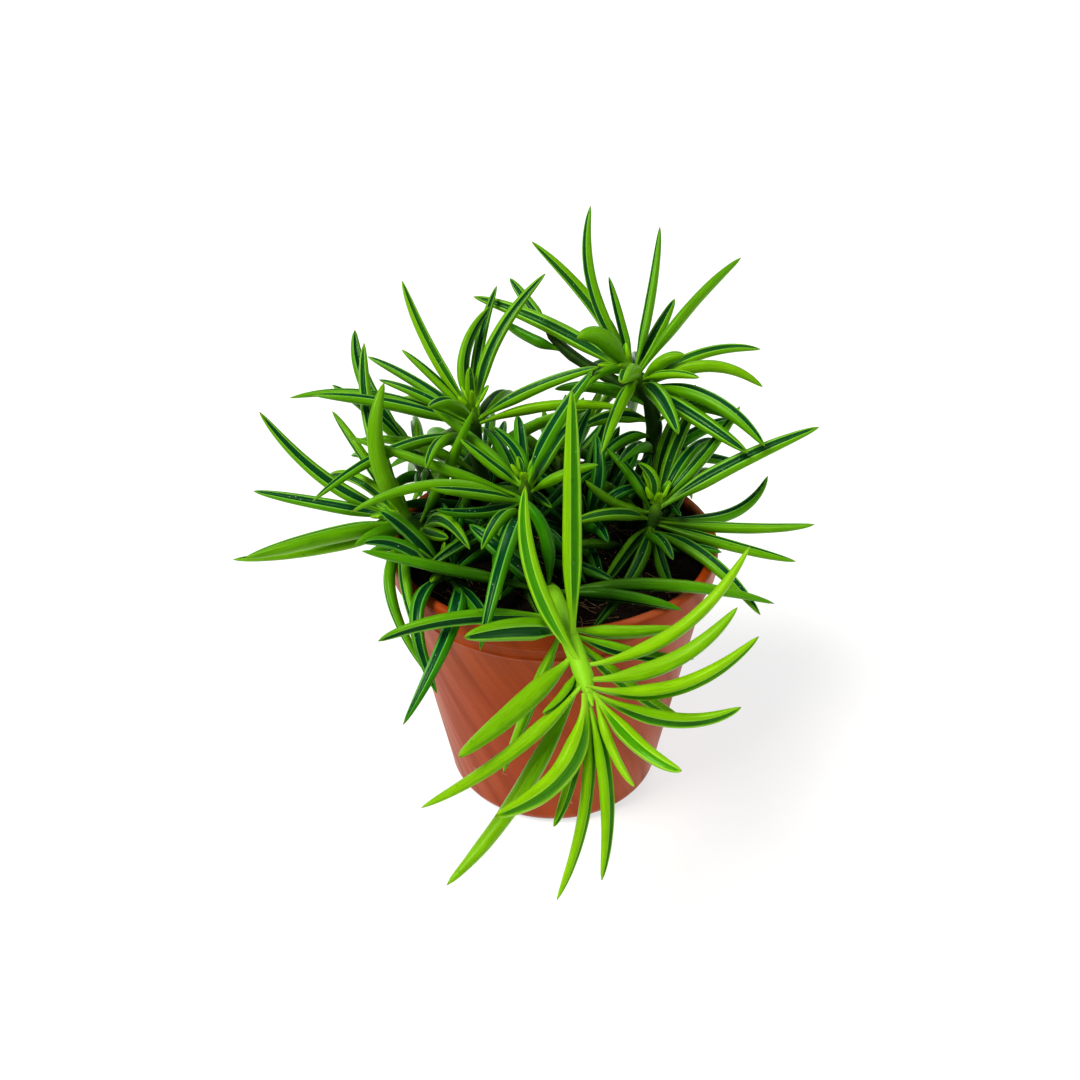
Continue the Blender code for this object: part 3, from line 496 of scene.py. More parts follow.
def potPlastic():
    bench = newMaterial("terracottaPlastic")
    place = bench.objectPlace()
    x = bench.axis(place, "X")
    height = x.out("Z")
    around = bench.maths("ARCTAN2", x, -1 * x.out("Y"))
    withTurn, withHeight, stretch = plastic["smearRun"]
    slanted = bench.joined(around * withTurn + height * withHeight, height * stretch)
    smear = bench.patches(slanted, *plastic["smears"])
    cloud = bench.patches(place, *plastic["clouds"])
    body = bench.coat(paint(*plastic["colour"]), cloud, *plastic["warm"])
    body = bench.coat(body, smear, *plastic["dull"])
    stretch, climb = plastic["scratchRun"]
    level = bench.joined(around * stretch, height + around * climb)
    scratch = bench.patches(level, *plastic["scratches"])
    body = bench.coat(body, scratch * bench.patches(place, *plastic["scratchedPatches"]), *plastic["scratch"])
    dot = bench.dots(place, *plastic["dustDots"]) * bench.patches(place, *plastic["dustyPatches"])
    body = bench.coat(body, dot, *plastic["dust"])
    # painted shade: the inside of the wall is darkened, down from just below the lip
    slope = (pot["wallTop"] - pot["foot"]) / (pot["height"] - pot["lipHeight"] - pot["footRounding"])
    fromWall = bench.fromAxis(place) - height * slope - (pot["foot"] - slope * pot["footRounding"]) * mm
    inside = bench.between(fromWall, *(share * pot["wall"] * mm for share in plastic["innerShadeWall"]))
    lipTop = pot["height"] * mm
    wandering = height + (cloud - 0.5) * plastic["innerShadeWander"]
    stain = inside * bench.between(wandering, *(lipTop - drop for drop in plastic["innerShadeTop"]))
    body = bench.coat(body, stain, *plastic["stain"])
    # painted highlight: patches of pale colour along the top of the lip
    lipHighlight = bench.between(height, *(lipTop - drop for drop in plastic["lipHighlightTop"]))
    body = bench.coat(body, lipHighlight * bench.patches(place, *plastic["lipHighlightPatches"]), *plastic["worn"])
    grain = bench.noise(place, *plastic["grain"])
    grain = grain + bench.noise(level, *plastic["scratchGrain"]) * plastic["scratchDepth"]
    rough = plastic["roughness"] + smear * plastic["smearRoughness"] + scratch * plastic["scratchRoughness"]
    sockets = {
        "Base Color": body,
        "Roughness": rough,
        "Normal": bench.bump(grain, *plastic["relief"]),
        "IOR": 1.48,
        "Specular IOR Level": 0.3,
        "Specular Tint": paint(255, 206, 170),
    }
    return bench.finish(sockets)


def addPot():
    piece = turned("nurseryPot", potProfile(), pot["steps"])
    turnOutward(piece.data)
    cutter = bmesh.new()
    radius, depth = pot["drainRadius"] * mm, 4 * pot["floor"] * mm
    size = {"segments": pot["drainSides"], "radius1": radius, "radius2": radius, "depth": depth}
    for index in range(pot["drainHoles"]):
        angle = 2 * math.pi * (index + 0.5) / pot["drainHoles"]
        made = bmesh.ops.create_cone(cutter, cap_ends=True, **size)
        shift = (pot["drainCircle"] * math.cos(angle) * mm, pot["drainCircle"] * math.sin(angle) * mm, 0)
        bmesh.ops.translate(cutter, verts=made["verts"], vec=shift)
    punch = newObject("drainPunch", meshOf("drainPunch", cutter))
    cut = piece.modifiers.new("drainHoles", "BOOLEAN")
    cut.operation = "DIFFERENCE"
    cut.object = punch
    keepResult(piece)
    bpy.data.objects.remove(punch)
    piece.data.set_sharp_from_angle(angle=math.radians(pot["sharpAngle"]))
    piece.data.materials.clear()
    piece.data.materials.append(potPlastic())
    settleOn(piece, "terracotta_plastic", "pot")
    print(f"stage: the pot has {len(piece.data.polygons)} faces")


# Soil, with crumbs, root fibres and white grit strewn over it
soil = {
    "level": 92.0,
    "bump": 1.3,
    "edgeDrop": 0.5,
    "gap": 0.3,
    "rings": 44,
    "steps": 120,
    "topReach": (4, 2),  # clods start and are full this far below the level
    "coarseClods": (190, 4, 0.6),
    "fineClods": (520, 2),
    "fineShare": 0.45,
    "crumbReach": 54.5,
    "fibreReach": 44.0,
    "lumpShapes": ((0.6, 0.6, 0.4), (1.0, 1.0, 0.8)),
    "lumpJag": (1400, 1, 0.45),  # scale and detail of the noise, and its share of the largest lump
    "fibreTilts": ((-0.25, -0.45, 0.0), (0.25, 0.15, math.tau)),
    "fibreSizes": (0.35, 1.25),
    "fibreCurl": (130, 2, (1.0, 1.0, 0.35)),
    "fibreLift": 0.0006,
    "fibreRings": 9,
    "fibreSides": 5,
    # what the recipe of each piece takes, in metres
    "soilBed": {"Relief": 0.0022},
    "soilCrumbs": {"Density": 160000.0, "Smallest": 0.0005, "Largest": 0.0019, "Seed": 3},
    "soilGrit": {"Density": 3600.0, "Smallest": 0.0005, "Largest": 0.0011, "Seed": 8},
    "rootFibres": {"Density": 30000.0, "Length": 0.010, "Thickness": 0.00015, "Curl": 0.004, "Seed": 5},
    # finishes: dark, middle and light colours
    "dampEarth": ((9, 6, 4), (38, 26, 18), (62, 44, 30)),
    "earthCrumbs": ((16, 10, 7), (46, 32, 22), (96, 72, 50)),
    "whiteGrit": ((150, 146, 136), (206, 202, 192), (236, 234, 228)),
    "paleFibre": ((104, 78, 50), (176, 144, 106), (222, 200, 166)),
}


earth = {
    "stops": (0.30, 0.52, 0.74),
    "clods": (260, 5, 0.65),
    "roughness": 0.82,
    "patchRoughness": 0.15,
    "patches": (700, 2),
    "grain": (900, 4, 0.7),
    "relief": (0.0004, 0.9),
}


def soilHeight(x, y):
    # the solid's own broad swells, in millimetres
    swell = math.sin(0.11 * x + 1.3) * math.cos(0.13 * y - 0.4) + 0.6 * math.sin(0.31 * x - 0.23 * y)
    return soil["level"] + 0.6 * soil["bump"] * swell


def soilEarth(name):
    bench = newMaterial(name)
    place = bench.objectPlace()
    stops = [(stop, paint(*colour)) for stop, colour in zip(earth["stops"], soil[name])]
    clods = bench.noise(place, *earth["clods"])
    sockets = {
        "Base Color": bench.node("ShaderNodeValToRGB", {"stops": stops}, {"Fac": clods}),
        "Roughness": earth["roughness"] + bench.noise(place, *earth["patches"]) * earth["patchRoughness"],
        "Normal": bench.bump(bench.noise(place, *earth["grain"]), *earth["relief"]),
        "Specular IOR Level": 0.25,
    }
    return bench.finish(sockets)


def soilBody():
    level, gap = soil["level"], soil["gap"]
    inner = wallRadius(level) - pot["wall"] - gap
    profile = [(0, level)]
    profile += [(inner * ring / soil["rings"], level) for ring in range(1, soil["rings"])]
    profile += [(inner, level - soil["edgeDrop"])]
    profile += [(pot["foot"] - pot["floor"] - 2 * gap, pot["footRounding"])]
    profile += [(pot["foot"] - pot["footRounding"], pot["floor"] + gap), (0, pot["floor"] + gap)]
    piece = turned("soilBed", profile, soil["steps"])
    for vertex in piece.data.vertices:
        x, y, z = (value / mm for value in vertex.co)
        if z > level - soil["edgeDrop"] / 2:
            vertex.co.z = soilHeight(x, y) * mm
    turnOutward(piece.data)
    return piece


def soilTop(bench, geometry, reach):
    # the faces of the soil's top within reach of its middle, that things can be strewn on
    place = bench.node("GeometryNodeInputPosition")
    steep = bench.maths("LESS_THAN", bench.axis(bench.node("GeometryNodeInputNormal"), "Z"), 0.5)
    low = bench.maths("LESS_THAN", bench.axis(place, "Z"), (soil["level"] - soil["topReach"][0]) * mm)
    far = bench.maths("GREATER_THAN", bench.fromAxis(place), reach * mm)
    drop = bench.maths("MAXIMUM", bench.maths("MAXIMUM", steep, low), far)
    sockets = {"Geometry": geometry, "Selection": drop}
    return bench.node("GeometryNodeDeleteGeometry", {"domain": "FACE"}, sockets)


def anyBetween(bench, low, high, seed, kind="FLOAT_VECTOR"):
    sockets = {"Min": low, "Max": high, "Seed": seed}
    return bench.node("FunctionNodeRandomValue", {"data_type": kind}, sockets, "Value")


def strewn(bench, wires, reach, sockets):
    # an instance at random places within reach, made real
    top = soilTop(bench, wires["Geometry"], reach)
    spread = {"Mesh": top, "Density": wires["Density"], "Seed": wires["Seed"]}
    dots = bench.node("GeometryNodeDistributePointsOnFaces", None, spread)
    laid = bench.node("GeometryNodeInstanceOnPoints", None, {"Points": dots} | sockets)
    return bench.node("GeometryNodeRealizeInstances", None, {"Geometry": laid})


def moved(bench, geometry, offset):
    return bench.node("GeometryNodeSetPosition", None, {"Geometry": geometry, "Offset": offset})


def anyWay(bench, scale, detail):
    # a direction and length that a noise gives each point, about half a unit long
    place = bench.node("GeometryNodeInputPosition")
    return bench.vector("SUBTRACT", bench.noise(place, scale, detail).out("Color"), (0.5, 0.5, 0.5))


def clodRecipe(skin):
    # lifts and sinks the soil's top by clods
    bench, wires = newRecipe("soilClods", {"Relief": 0.0, "Skin": skin})
    place = bench.node("GeometryNodeInputPosition")
    fine = (bench.noise(place, *soil["fineClods"]) - 0.5) * soil["fineShare"]
    lift = bench.noise(place, *soil["coarseClods"]) - 0.5 + fine
    heights = ((soil["level"] - drop) * mm for drop in soil["topReach"])
    lift = lift * wires["Relief"] * bench.between(bench.axis(place, "Z"), *heights)
    return endRecipe(bench, moved(bench, wires["Geometry"], bench.joined(z=lift)), wires["Skin"])


def lumpRecipe(skin):
    # small lumps strewn over the soil's top
    sizes = {"Density": 0.0, "Smallest": 0.0, "Largest": 0.0, "Seed": 0, "Skin": skin}
    bench, wires = newRecipe("lumps", sizes)
    seed = wires["Seed"]
    size = anyBetween(bench, wires["Smallest"], wires["Largest"], seed + 1, "FLOAT")
    shape = anyBetween(bench, *soil["lumpShapes"], seed + 2)
    sockets = {
        "Instance": bench.node("GeometryNodeMeshIcoSphere", None, {"Radius": 1.0, "Subdivisions": 1}),
        "Rotation": anyBetween(bench, (0, 0, 0), (math.tau, math.tau, math.tau), seed),
        "Scale": bench.scaled(shape, size * 0.5),
    }
    lumps = strewn(bench, wires, soil["crumbReach"], sockets)
    scale, detail, jag = soil["lumpJag"]
    lumps = moved(bench, lumps, bench.scaled(anyWay(bench, scale, detail), wires["Largest"] * jag))
    return endRecipe(bench, lumps, wires["Skin"])


def fibreRecipe(skin):
    # thin curling root fibres that lie on the soil's top
    sizes = {"Density": 0.0, "Length": 0.0, "Thickness": 0.0, "Curl": 0.0, "Seed": 0, "Skin": skin}
    bench, wires = newRecipe("fibres", sizes)
    end = bench.joined(wires["Length"])
    line = bench.node("GeometryNodeCurvePrimitiveLine", None, {"Start": (0, 0, 0), "End": end})
    line = bench.node("GeometryNodeResampleCurve", None, {"Curve": line, "Count": soil["fibreRings"]})
    sockets = {
        "Instance": line,
        "Rotation": anyBetween(bench, *soil["fibreTilts"], wires["Seed"]),
        "Scale": anyBetween(bench, *soil["fibreSizes"], wires["Seed"] + 1, "FLOAT"),
    }
    fibres = strewn(bench, wires, soil["fibreReach"], sockets)
    scale, detail, flatness = soil["fibreCurl"]
    curl = bench.vector("MULTIPLY", anyWay(bench, scale, detail), flatness)
    fibres = moved(bench, fibres, bench.scaled(curl, wires["Curl"]))
    fibres = moved(bench, fibres, (0, 0, soil["fibreLift"]))
    sockets = {"Resolution": soil["fibreSides"], "Radius": wires["Thickness"]}
    ring = bench.node("GeometryNodeCurvePrimitiveCircle", None, sockets)
    sockets = {"Curve": fibres, "Profile Curve": ring, "Fill Caps": True}
    return endRecipe(bench, bench.node("GeometryNodeCurveToMesh", None, sockets), wires["Skin"])


def addSoil():
    bed = soilBody()
    plain = bed.data
    skin = soilEarth("dampEarth")
    cook(bed, clodRecipe(skin), soil["soilBed"] | {"Skin": skin})
    settleOn(bed, "potting_soil", "soil")
    pieces = (
        ("soilCrumbs", "earthCrumbs", lumpRecipe),
        ("soilGrit", "whiteGrit", lumpRecipe),
        ("rootFibres", "paleFibre", fibreRecipe),
    )
    for name, finish, recipe in pieces:
        skin = soilEarth(finish)
        piece = cook(newObject(name, plain), recipe(skin), soil[name] | {"Skin": skin})
        settleOn(piece, "potting_soil")
        print(f"stage: {name} has {len(piece.data.polygons)} faces")


# Plant
# Each leaf of a crown is a row: right, up, near, width, arch, sway. The first three are where its tip lies
# from the crown, as seen from in front and above, at the camera's tilt. Arch lifts its middle and sway moves
# it to the right. A row under lowerLeaves starts with how far down the stem from its tip the leaf grows.
# A fan is leaves of the crown that spread by rule: count, first and last heading, rise, length, width, arch.
# A spiral is older leaves that wind down the stem: count, first and last distance below the tip, heading of
# the first, rise, length, width. Youth runs from 0, old and dark, to 1, fresh and bright.
# Youth is partly the leaves' own age and partly painted shade: crowns low in the middle, as on stem_middle,
# get little
stems = {
    "stem_back_right": {
        "route": [(27, 29, 80), (27, 29, 94), (34, 31, 112), (38, 34, 128), (35, 35, 146), (26, 35, 158)],
        "radii": (3.3, 2.9),
        "youth": 0.54,
        "leaves": [
            (-13, 54, 10, 4.2, 0, -7), (-34, 45, 0, 4.4, 0, 4.5), (-57, 30, -15, 5.0, 3.5, 0),
            (-18, 5, 18, 5.8, 6, 0), (-6, 32, 0, 3.2, 0, 0), (13, 52, -5, 3.8, 0, 1),
            (19, 27, -10, 4.6, 0, 0), (42, 39, 0, 4.4, 4, 0), (50, 7, -5, 3.8, 5, 0), (21, 2, 6, 5.0, 3, 0),
            (49, -9, 5, 4.6, 8, 1), (25, -8, 15, 3.4, 2, 0), (47, -33, 20, 5.4, 6, 2),
            (44, -36, 12, 5.0, 2, 0), (17, -29, 22, 5.4, 4, 0), (-10, -37, 25, 4.6, 4, 0),
            (-3, -13, 30, 6.0, 3, 0), (-17, -14, 15, 3.2, 6, 0),
        ],
        "lowerLeaves": [
            (34, 34, -6, -5, 4.2, 0, 0), (34, 17, -9, 5, 3.6, 0, 0), (25, -27, -4, 4, 4.6, 3, 0),
            (31, -24, -17, 8, 4.4, 3, 0), (37, -12, -22, 10, 4.4, 3, 0),
        ],
        "fan": (5, 50, 130, -36, 44, 4.6, 5),
        "spiral": (7, 18, 56, 190, 14, 38, 4.6),
    },
    "shoot_back_right": {
        "joins": "stem_back_right",
        "route": [(35, 35, 144), (22, 42, 149), (6, 50, 156), (-4, 60, 163)],
        "radii": (2.4, 1.8),
        "youth": 0.3,
        "leaves": [
            (-16, 4, -5, 4.2, 0, 0), (-13, 21, -10, 3.8, 0, 0),
        ],
    },
    "stem_back_left": {
        "route": [(-22, 19, 80), (-22, 19, 94), (-26, 22, 114), (-29, 24, 132), (-29, 25, 147)],
        "radii": (3.2, 2.6),
        "youth": 0.54,
        "leaves": [
            (-26, 45, 0, 3.8, 0, -2.5), (-27, 21, -5, 3.5, 0, 0), (-40, 20, -10, 3.8, 2, 0),
            (-35, 10, -5, 3.4, 2, 0), (-70, 6, -15, 3.8, 8, 0), (-57, 2, 5, 4.4, 2, 0),
            (6, 37, -5, 4.4, 0, -6), (8, 47, -15, 3.6, 0, -3), (26, 46, 5, 4.2, 0, -6),
            (-1, 12, 5, 3.4, 0, 0), (-14, -7, 25, 5.0, 3, 0), (45, 10, 15, 4.2, 2, 0),
            (57, -2, 10, 4.2, 6, 0), (-54, -37, 20, 4.2, 7, 0),
        ],
        "fan": (5, 65, 150, -34, 44, 4.4, 4),
        "spiral": (7, 15, 48, 250, 10, 44, 4.4),
    },
    "stem_far_left": {
        "route": [(-33, 9, 80), (-33, 9, 94), (-42, 18, 108), (-50, 28, 120), (-53, 32, 127)],
        "radii": (2.6, 2.2),
        "youth": 0.36,
        "leaves": [
            (-23, 45, -5, 5.0, 0, -6), (-30, 22, 4, 4.0, 2, 0), (-8, -18, 8, 4.6, 3, 0),
        ],
        "fan": (3, 80, 135, -25, 38, 4.2, 6),
        "spiral": (3, 12, 34, 280, 15, 38, 4.2),
    },
    "stem_left": {
        "route": [(-31, -6, 80), (-31, -6, 94), (-42, -6, 108), (-51, -5, 115), (-57, -5, 120)],
        "radii": (3.0, 2.7),
        "youth": 0.48,
        "leaves": [
            (-47, 36, 0, 4.4, -5, 0), (-51, 8, -5, 4.2, 0, 0), (-50, -17, 10, 6.4, 2, 1),
            (-57, -17, 0, 4.4, -2, 0), (-12, -13, 10, 4.6, 2, 0), (0, 43, 15, 5.6, 0, -5),
            (-23, 37, -10, 3.8, 0, 0), (-12, 61, -5, 4.8, -1, -7), (23, -13, 20, 3.8, 2, 0),
            (29, 34, 15, 4.4, 0, 0), (15, -63, 14, 4.4, 0.5, -8), (17, -61, 20, 4.2, 0.5, -4.5),
        ],
        "fan": (3, 105, 160, -12, 36, 4.0, 5),
        "spiral": (4, 12, 30, 300, 12, 38, 4.4),
    },
    "stem_centre": {
        "route": [(-8, -6, 80), (-8, -6, 94), (-10, -7, 112), (-10, -10, 126), (-10, -10, 137)],
        "radii": (3.0, 2.6),
        "youth": 0.32,
        "leaves": [
            (23, 34, 10, 4.8, 0, -2), (25, 3, 6, 4.0, 2, 0), (-58, -14, 10, 4.2, 7, 0),
            (-31, -7, 15, 4.0, -2, 0), (-29, -14, 15, 4.0, -4, 0), (-11, 17, 0, 3.6, 0, 4),
            (-33, 25, -5, 4.0, 0, 0), (-22, 13, 0, 3.6, 0, 0), (-64, 15, -10, 4.2, 2, 0),
            (-14, -62, 30, 4.8, 6, 0),
        ],
        "lowerLeaves": [
            (14, -6, -36, 24, 5.0, 4, 0), (18, 10, -34, 22, 4.6, 3, 0), (22, -24, -26, 18, 4.8, 3, 0),
            (16, -34, -24, 14, 4.6, 3, 0), (26, 24, -18, 14, 4.4, 3, 0), (29, -12, -20, 16, 4.6, 2, 0),
        ],
        "fan": (3, 40, 110, 0, 34, 4.0, 4),
        "spiral": (6, 13, 40, 120, 8, 42, 4.4),
    },
    "stem_middle": {
        "route": [(9, 6, 80), (9, 6, 94), (11, 4, 104), (12, 2, 112)],
        "radii": (2.6, 2.2),
        "youth": 0.04,
        "leaves": [
            (3, 31, 2, 4.6, 0, 0), (5, -23, 16, 4.4, 5, 0), (19, 19, -8, 4.2, 2, 0), (22, 11, 0, 4.0, 2, 0),
            (-19, 7, 2, 4.4, 2, 0), (-10, -22, 12, 4.6, 5, 0), (5, 43, -8, 4.6, 0, 2),
            (13, 37, -12, 4.8, 0, 0), (16, 34, -20, 5.0, 0, 0), (9, 41, -17, 5.0, 0, 0),
            (-4, 36, -12, 4.2, 0, 0), (21, 30, -14, 4.2, 2, 0),
        ],
        "spiral": (4, 4, 9, 150, 30, 32, 4.8),
    },
    "stem_right": {
        "route": [(24, -2, 80), (24, -2, 94), (32, -1, 106), (36, 0, 115), (37, 0, 122)],
        "radii": (3.0, 2.7),
        "youth": 0.44,
        "leaves": [
            (56, 24, 9, 5.2, -2.5, 0), (40, 12, -10, 4.4, 1, 1), (30, 35, -8, 4.2, 0, 0),
            (19, 43, -15, 4.2, 0, 0), (17, 47, -25, 4.0, 0, -4), (-7, 12, 5, 3.6, 0, 3),
            (53, -10, 10, 4.2, 0, 0), (48, -26, 5, 4.4, -5.5, -1), (5, -34, 20, 4.4, -2.5, 0),
            (-25, -46, 30, 4.4, 3, 4), (-26, 5, 12, 4.2, -4, 0), (-31, -11, 15, 4.2, 1, 0),
            (34, -48, 12, 4.8, -3, 1), (-21, -30, 18, 4.2, 2, 0), (-20, 19, -5, 4.0, 0, 0),
        ],
        "fan": (2, 40, 100, -5, 36, 4.0, 5),
        "spiral": (5, 11, 26, 150, 15, 36, 4.2),
    },
    "stem_front": {
        "route": [
            (-2, -24, 80), (-2, -24, 94), (-1, -38, 108), (2, -56, 112), (7, -71, 107), (10, -80, 103),
            (12, -87, 99),
        ],
        "radii": (3.6, 3.0),
        "youth": 0.92,
        "leaves": [],
        "lowerLeaves": [
            (7, -50, -36, 15, 5.0, -2.5, 2.5), (2, -29, -34, 14, 6.8, -6.5, 7),
            (3, -11, -40, 3, 4.0, -6, 1.5), (1, -11, -62, -5, 4.2, -1.5, 3.5), (1, 3, -55, 0, 4.6, 0, 3.5),
            (2, 13, -26, 8, 3.2, -3, -0.5), (2, 27, -21, 10, 4.6, -5, 0.5), (3, 46, -3, 5, 4.8, -8, 2.5),
            (5, 52, 17, 5, 5.4, -9, 2), (8, 47, 23, 2, 5.4, -7.5, 3.5), (13, 53, 38, 0, 4.8, -9.5, 4.5),
            (9, -43, -64, 2, 6.2, -7.5, 1), (12, -14, -12, 6, 3.4, -1, 1), (17, -35, -30, 22, 7.4, -3.5, 2),
            (14, -17, 55, 10, 4.8, 0, -6), (23, 0, 76, 19, 5.4, 0.5, 0), (27, -32, -2, 16, 6.4, 2, 0),
            (27, 36, 1, -6, 4.8, -2, 0), (25, 40, -7, -2, 4.0, -2, 0), (24, 39, -28, -7, 4.4, -3, 0),
            (33, -58, -11, 2, 4.6, -4.5, -2.5), (28, -20, -46, 2, 4.4, 0, 0), (52, -26, 25, 5, 6.0, 0, 0),
            (52, -17, 30, 0, 5.0, 0, 0), (52, -62, 11, 5, 4.6, -2, 0), (52, 76, -4, -5, 4.6, 4, 0),
            (50, 43, -8, 3, 4.6, 0, 0),
        ],
    },
    "stem_low_left": {
        "route": [(-29, -23, 80), (-29, -23, 94), (-34, -27, 104), (-39, -30, 112)],
        "radii": (2.4, 2.1),
        "youth": 0.15,
        "leaves": [
            (-25, 8, 6, 4.0, 3, 0), (8, 22, 2, 4.2, 0, 0),
        ],
        "lowerLeaves": [
            (3, -1, -43, 12, 4.2, 5.5, -6.5), (6, 17, -36, 20, 4.6, 2.5, 1.5),
            (9, -12, -57, 30, 5.0, -1, 10.5),
        ],
        "fan": (3, 20, 170, 20, 32, 4.6, 3),
    },
    "stem_back": {
        "route": [(4, 38, 80), (4, 38, 94), (3, 44, 106), (2, 50, 114)],
        "radii": (2.8, 2.4),
        "youth": 0.35,
        "leaves": [
            (-6, 18, -2, 4.4, 0, 0), (3, 25, -6, 4.6, 0, 1), (10, 22, 2, 4.4, 0, -1),
            (17, 28, -4, 4.8, 0, 0), (26, 22, 0, 4.6, 1, 0), (34, 9, -6, 4.4, 2, 0),
            (-17, 10, -4, 4.4, 2, 0),
        ],
        "fan": (6, 60, 170, -18, 48, 4.4, 8),
    },
    "stem_back_low_right": {
        "route": [(38, 20, 80), (38, 20, 94), (44, 24, 104), (48, 28, 111)],
        "radii": (2.6, 2.2),
        "youth": 0.3,
        "leaves": [],
        "fan": (5, 45, 125, -30, 32, 4.2, 4),
    },
    "stem_back_low_left": {
        "route": [(-20, 36, 80), (-20, 36, 94), (-26, 41, 104), (-30, 46, 111)],
        "radii": (2.6, 2.2),
        "youth": 0.35,
        "leaves": [],
        "fan": (6, 80, 180, -20, 42, 4.2, 9),
    },
}

# The lines that leaves and stems follow, by the same rules as the solids
blade = {
    "fullness": 1.24,
    "rootShare": 0.30,
    "swellEnd": 0.34,
    "taperDelay": 3.4,
    "taperRounding": 0.64,
    "tipHalf": 0.40,
    "outwardLean": 0.25,
    "roll": 16.0,
    "marginLift": 0.40,
    "clearance": 0.35,
}
growth = {
    "crownTop": 0.8,
    "crownDepth": 12.0,
    "rootOffset": 0.6,
    "goldenAngle": 137.5,
    "fanAlternation": 14.0,
    "spiralArch": 4.0,
    "headingSpread": 8.0,
    "riseSpread": 8.0,
    "lengthSpread": (0.83, 1.1),
    "widthSpread": (0.9, 1.1),
    "firstSeed": 100,
    "ageing": 0.016,
    "freshReach": 10.0,
}
noLeaves = (0,) * 7
tiny = 1e-9  # keeps a length that is divided by from being nothing
easing = {
    "steps": 140,
    "segments": 8,
    "push": 0.5,
    "mostPush": 1.2,
    "touching": 0.05,
    "clearRoot": 0.35,
    "stemStride": 4,
    "potSamples": 17,
    "potMargin": 0.6,
    "rimSlack": 1.5,
    "wallReach": 6.0,
    "leastWeight": 0.3,
}


def fromView(right, up, near):
    # a direction across, up and towards a viewer who looks down at the camera's tilt
    sine = math.sin(math.radians(shot["tilt"]))
    cosine = math.cos(math.radians(shot["tilt"]))
    return np.array([right, up * sine - near * cosine, up * cosine + near * sine])


def unit(vector):
    return vector / np.linalg.norm(vector)


def smoothRoute(route, spacing=1.0, samples=20):
    # points about spacing apart on a smooth curve through the route's points
    points = np.array(route, float)
    padded = np.vstack([2 * points[0] - points[1], points, 2 * points[-1] - points[-2]])
    dense = []
    for before, start, end, after in zip(padded, padded[1:], padded[2:], padded[3:]):
        for t in np.linspace(0, 1, samples, endpoint=False):
            square = (2 * before - 5 * start + 4 * end - after) * t**2
            cube = (3 * start - before - 3 * end + after) * t**3
            dense.append(0.5 * (2 * start + (end - before) * t + square + cube))
    dense = np.array(dense + [points[-1]])
    travelled = np.append(0, np.cumsum(np.linalg.norm(np.diff(dense, axis=0), axis=1)))
    steps = np.linspace(0, travelled[-1], max(2, round(travelled[-1] / spacing)))
    return np.stack([np.interp(steps, travelled, dense[:, axis]) for axis in range(3)], axis=1)


def placeBelowTip(curve, below):
    steps = np.linalg.norm(np.diff(curve, axis=0), axis=1)
    index = len(curve) - 1
    while index > 1 and below > 0:
        below -= steps[index - 1]
        index -= 1
    return curve[index], unit(curve[index] - curve[index - 1])


def drawnLeaf(draw, heading, rise, length, width):
    # a leaf's reach and width, a little unlike what is asked for
    turn = math.radians(heading + draw.uniform(-growth["headingSpread"], growth["headingSpread"]))
    lift = math.radians(rise + draw.uniform(-growth["riseSpread"], growth["riseSpread"]))
    way = np.array([math.cos(lift) * math.cos(turn), math.cos(lift) * math.sin(turn), math.sin(lift)])
    return length * draw.uniform(*growth["lengthSpread"]) * way, width * draw.uniform(*growth["widthSpread"])


def fanRows(fan, draw):
    count, first, last, rise, length, width, arch = fan
    rows = []
    for index in range(count):
        heading = first + (last - first) * (index + 0.5) / count
        lift = rise + growth["fanAlternation"] * (-1) ** index
        reach, drawnWidth = drawnLeaf(draw, heading, lift, length, width)
        rows.append((reach, drawnWidth, arch, 0))
    return rows


def spiralRows(spiral, draw):
    count, firstBelow, lastBelow, heading, rise, length, width = spiral
    rows = []
    for index in range(count):
        below = firstBelow + (lastBelow - firstBelow) * index / max(count - 1, 1)
        reach, drawnWidth = drawnLeaf(draw, heading + growth["goldenAngle"] * index, rise, length, width)
        rows.append((below, reach, drawnWidth, growth["spiralArch"], 0))
    return rows


def crownPlaces(reaches, direction):
    # how far below the tip each leaf of a crown grows: the upright ones at the top, the leaning ones below
    lean = [-float(unit(reach) @ direction) for reach in reaches]
    order = sorted(range(len(reaches)), key=lambda index: lean[index])
    places = [0.0] * len(reaches)
    top, depth = growth["crownTop"], growth["crownDepth"]
    for rank, index in enumerate(order):
        places[index] = top + (depth - top) * rank / max(len(order) - 1, 1)
    return places


def growLeaf(stem, node, curve, below, fromTip, row, draw):
    reach, width, arch, sway = row
    axisPoint, direction = placeBelowTip(curve, below)
    start = curve[-1] if fromTip else axisPoint
    outward = reach - (reach @ direction) * direction
    outward = unit(outward) if np.linalg.norm(outward) > 1 else unit(np.cross(direction, (1, 0, 0)))
    root = axisPoint + outward * growth["rootOffset"] * stem["radii"][1]
    return {
        "node": node,
        "root": root,
        "reach": start + reach - root,
        "bow": np.array([sway, 0, arch], float),
        "width": width * blade["fullness"],
        "upper": direction - blade["outwardLean"] * outward,
        "roll": math.radians(draw.uniform(-blade["roll"], blade["roll"])),
        "below": below,
        "youth": stem["youth"],
    }


def growPlant():
    # all stem curves and leaves, before they are bent clear of one another
    curves = {}
    leaves = []
    for index, (name, stem) in enumerate(stems.items()):
        draw = random.Random(growth["firstSeed"] + index)
        node = stem.get("joins", name)
        curve = smoothRoute(stem["route"])
        curves[name] = curve
        crown = [(fromView(*row[:3]), *row[3:]) for row in stem["leaves"]]
        crown += fanRows(stem.get("fan", noLeaves), draw)
        places = crownPlaces([row[0] for row in crown], unit(curve[-1] - curve[-4]))
        for below, row in zip(places, crown):
            leaves.append(growLeaf(stem, node, curve, below, True, row, draw))
        lower = [(row[0], fromView(*row[1:4]), *row[4:]) for row in stem.get("lowerLeaves", [])]
        lower += spiralRows(stem.get("spiral", noLeaves), draw)
        for below, *row in lower:
            leaves.append(growLeaf(stem, node, curve, below, False, row, draw))
    return curves, leaves


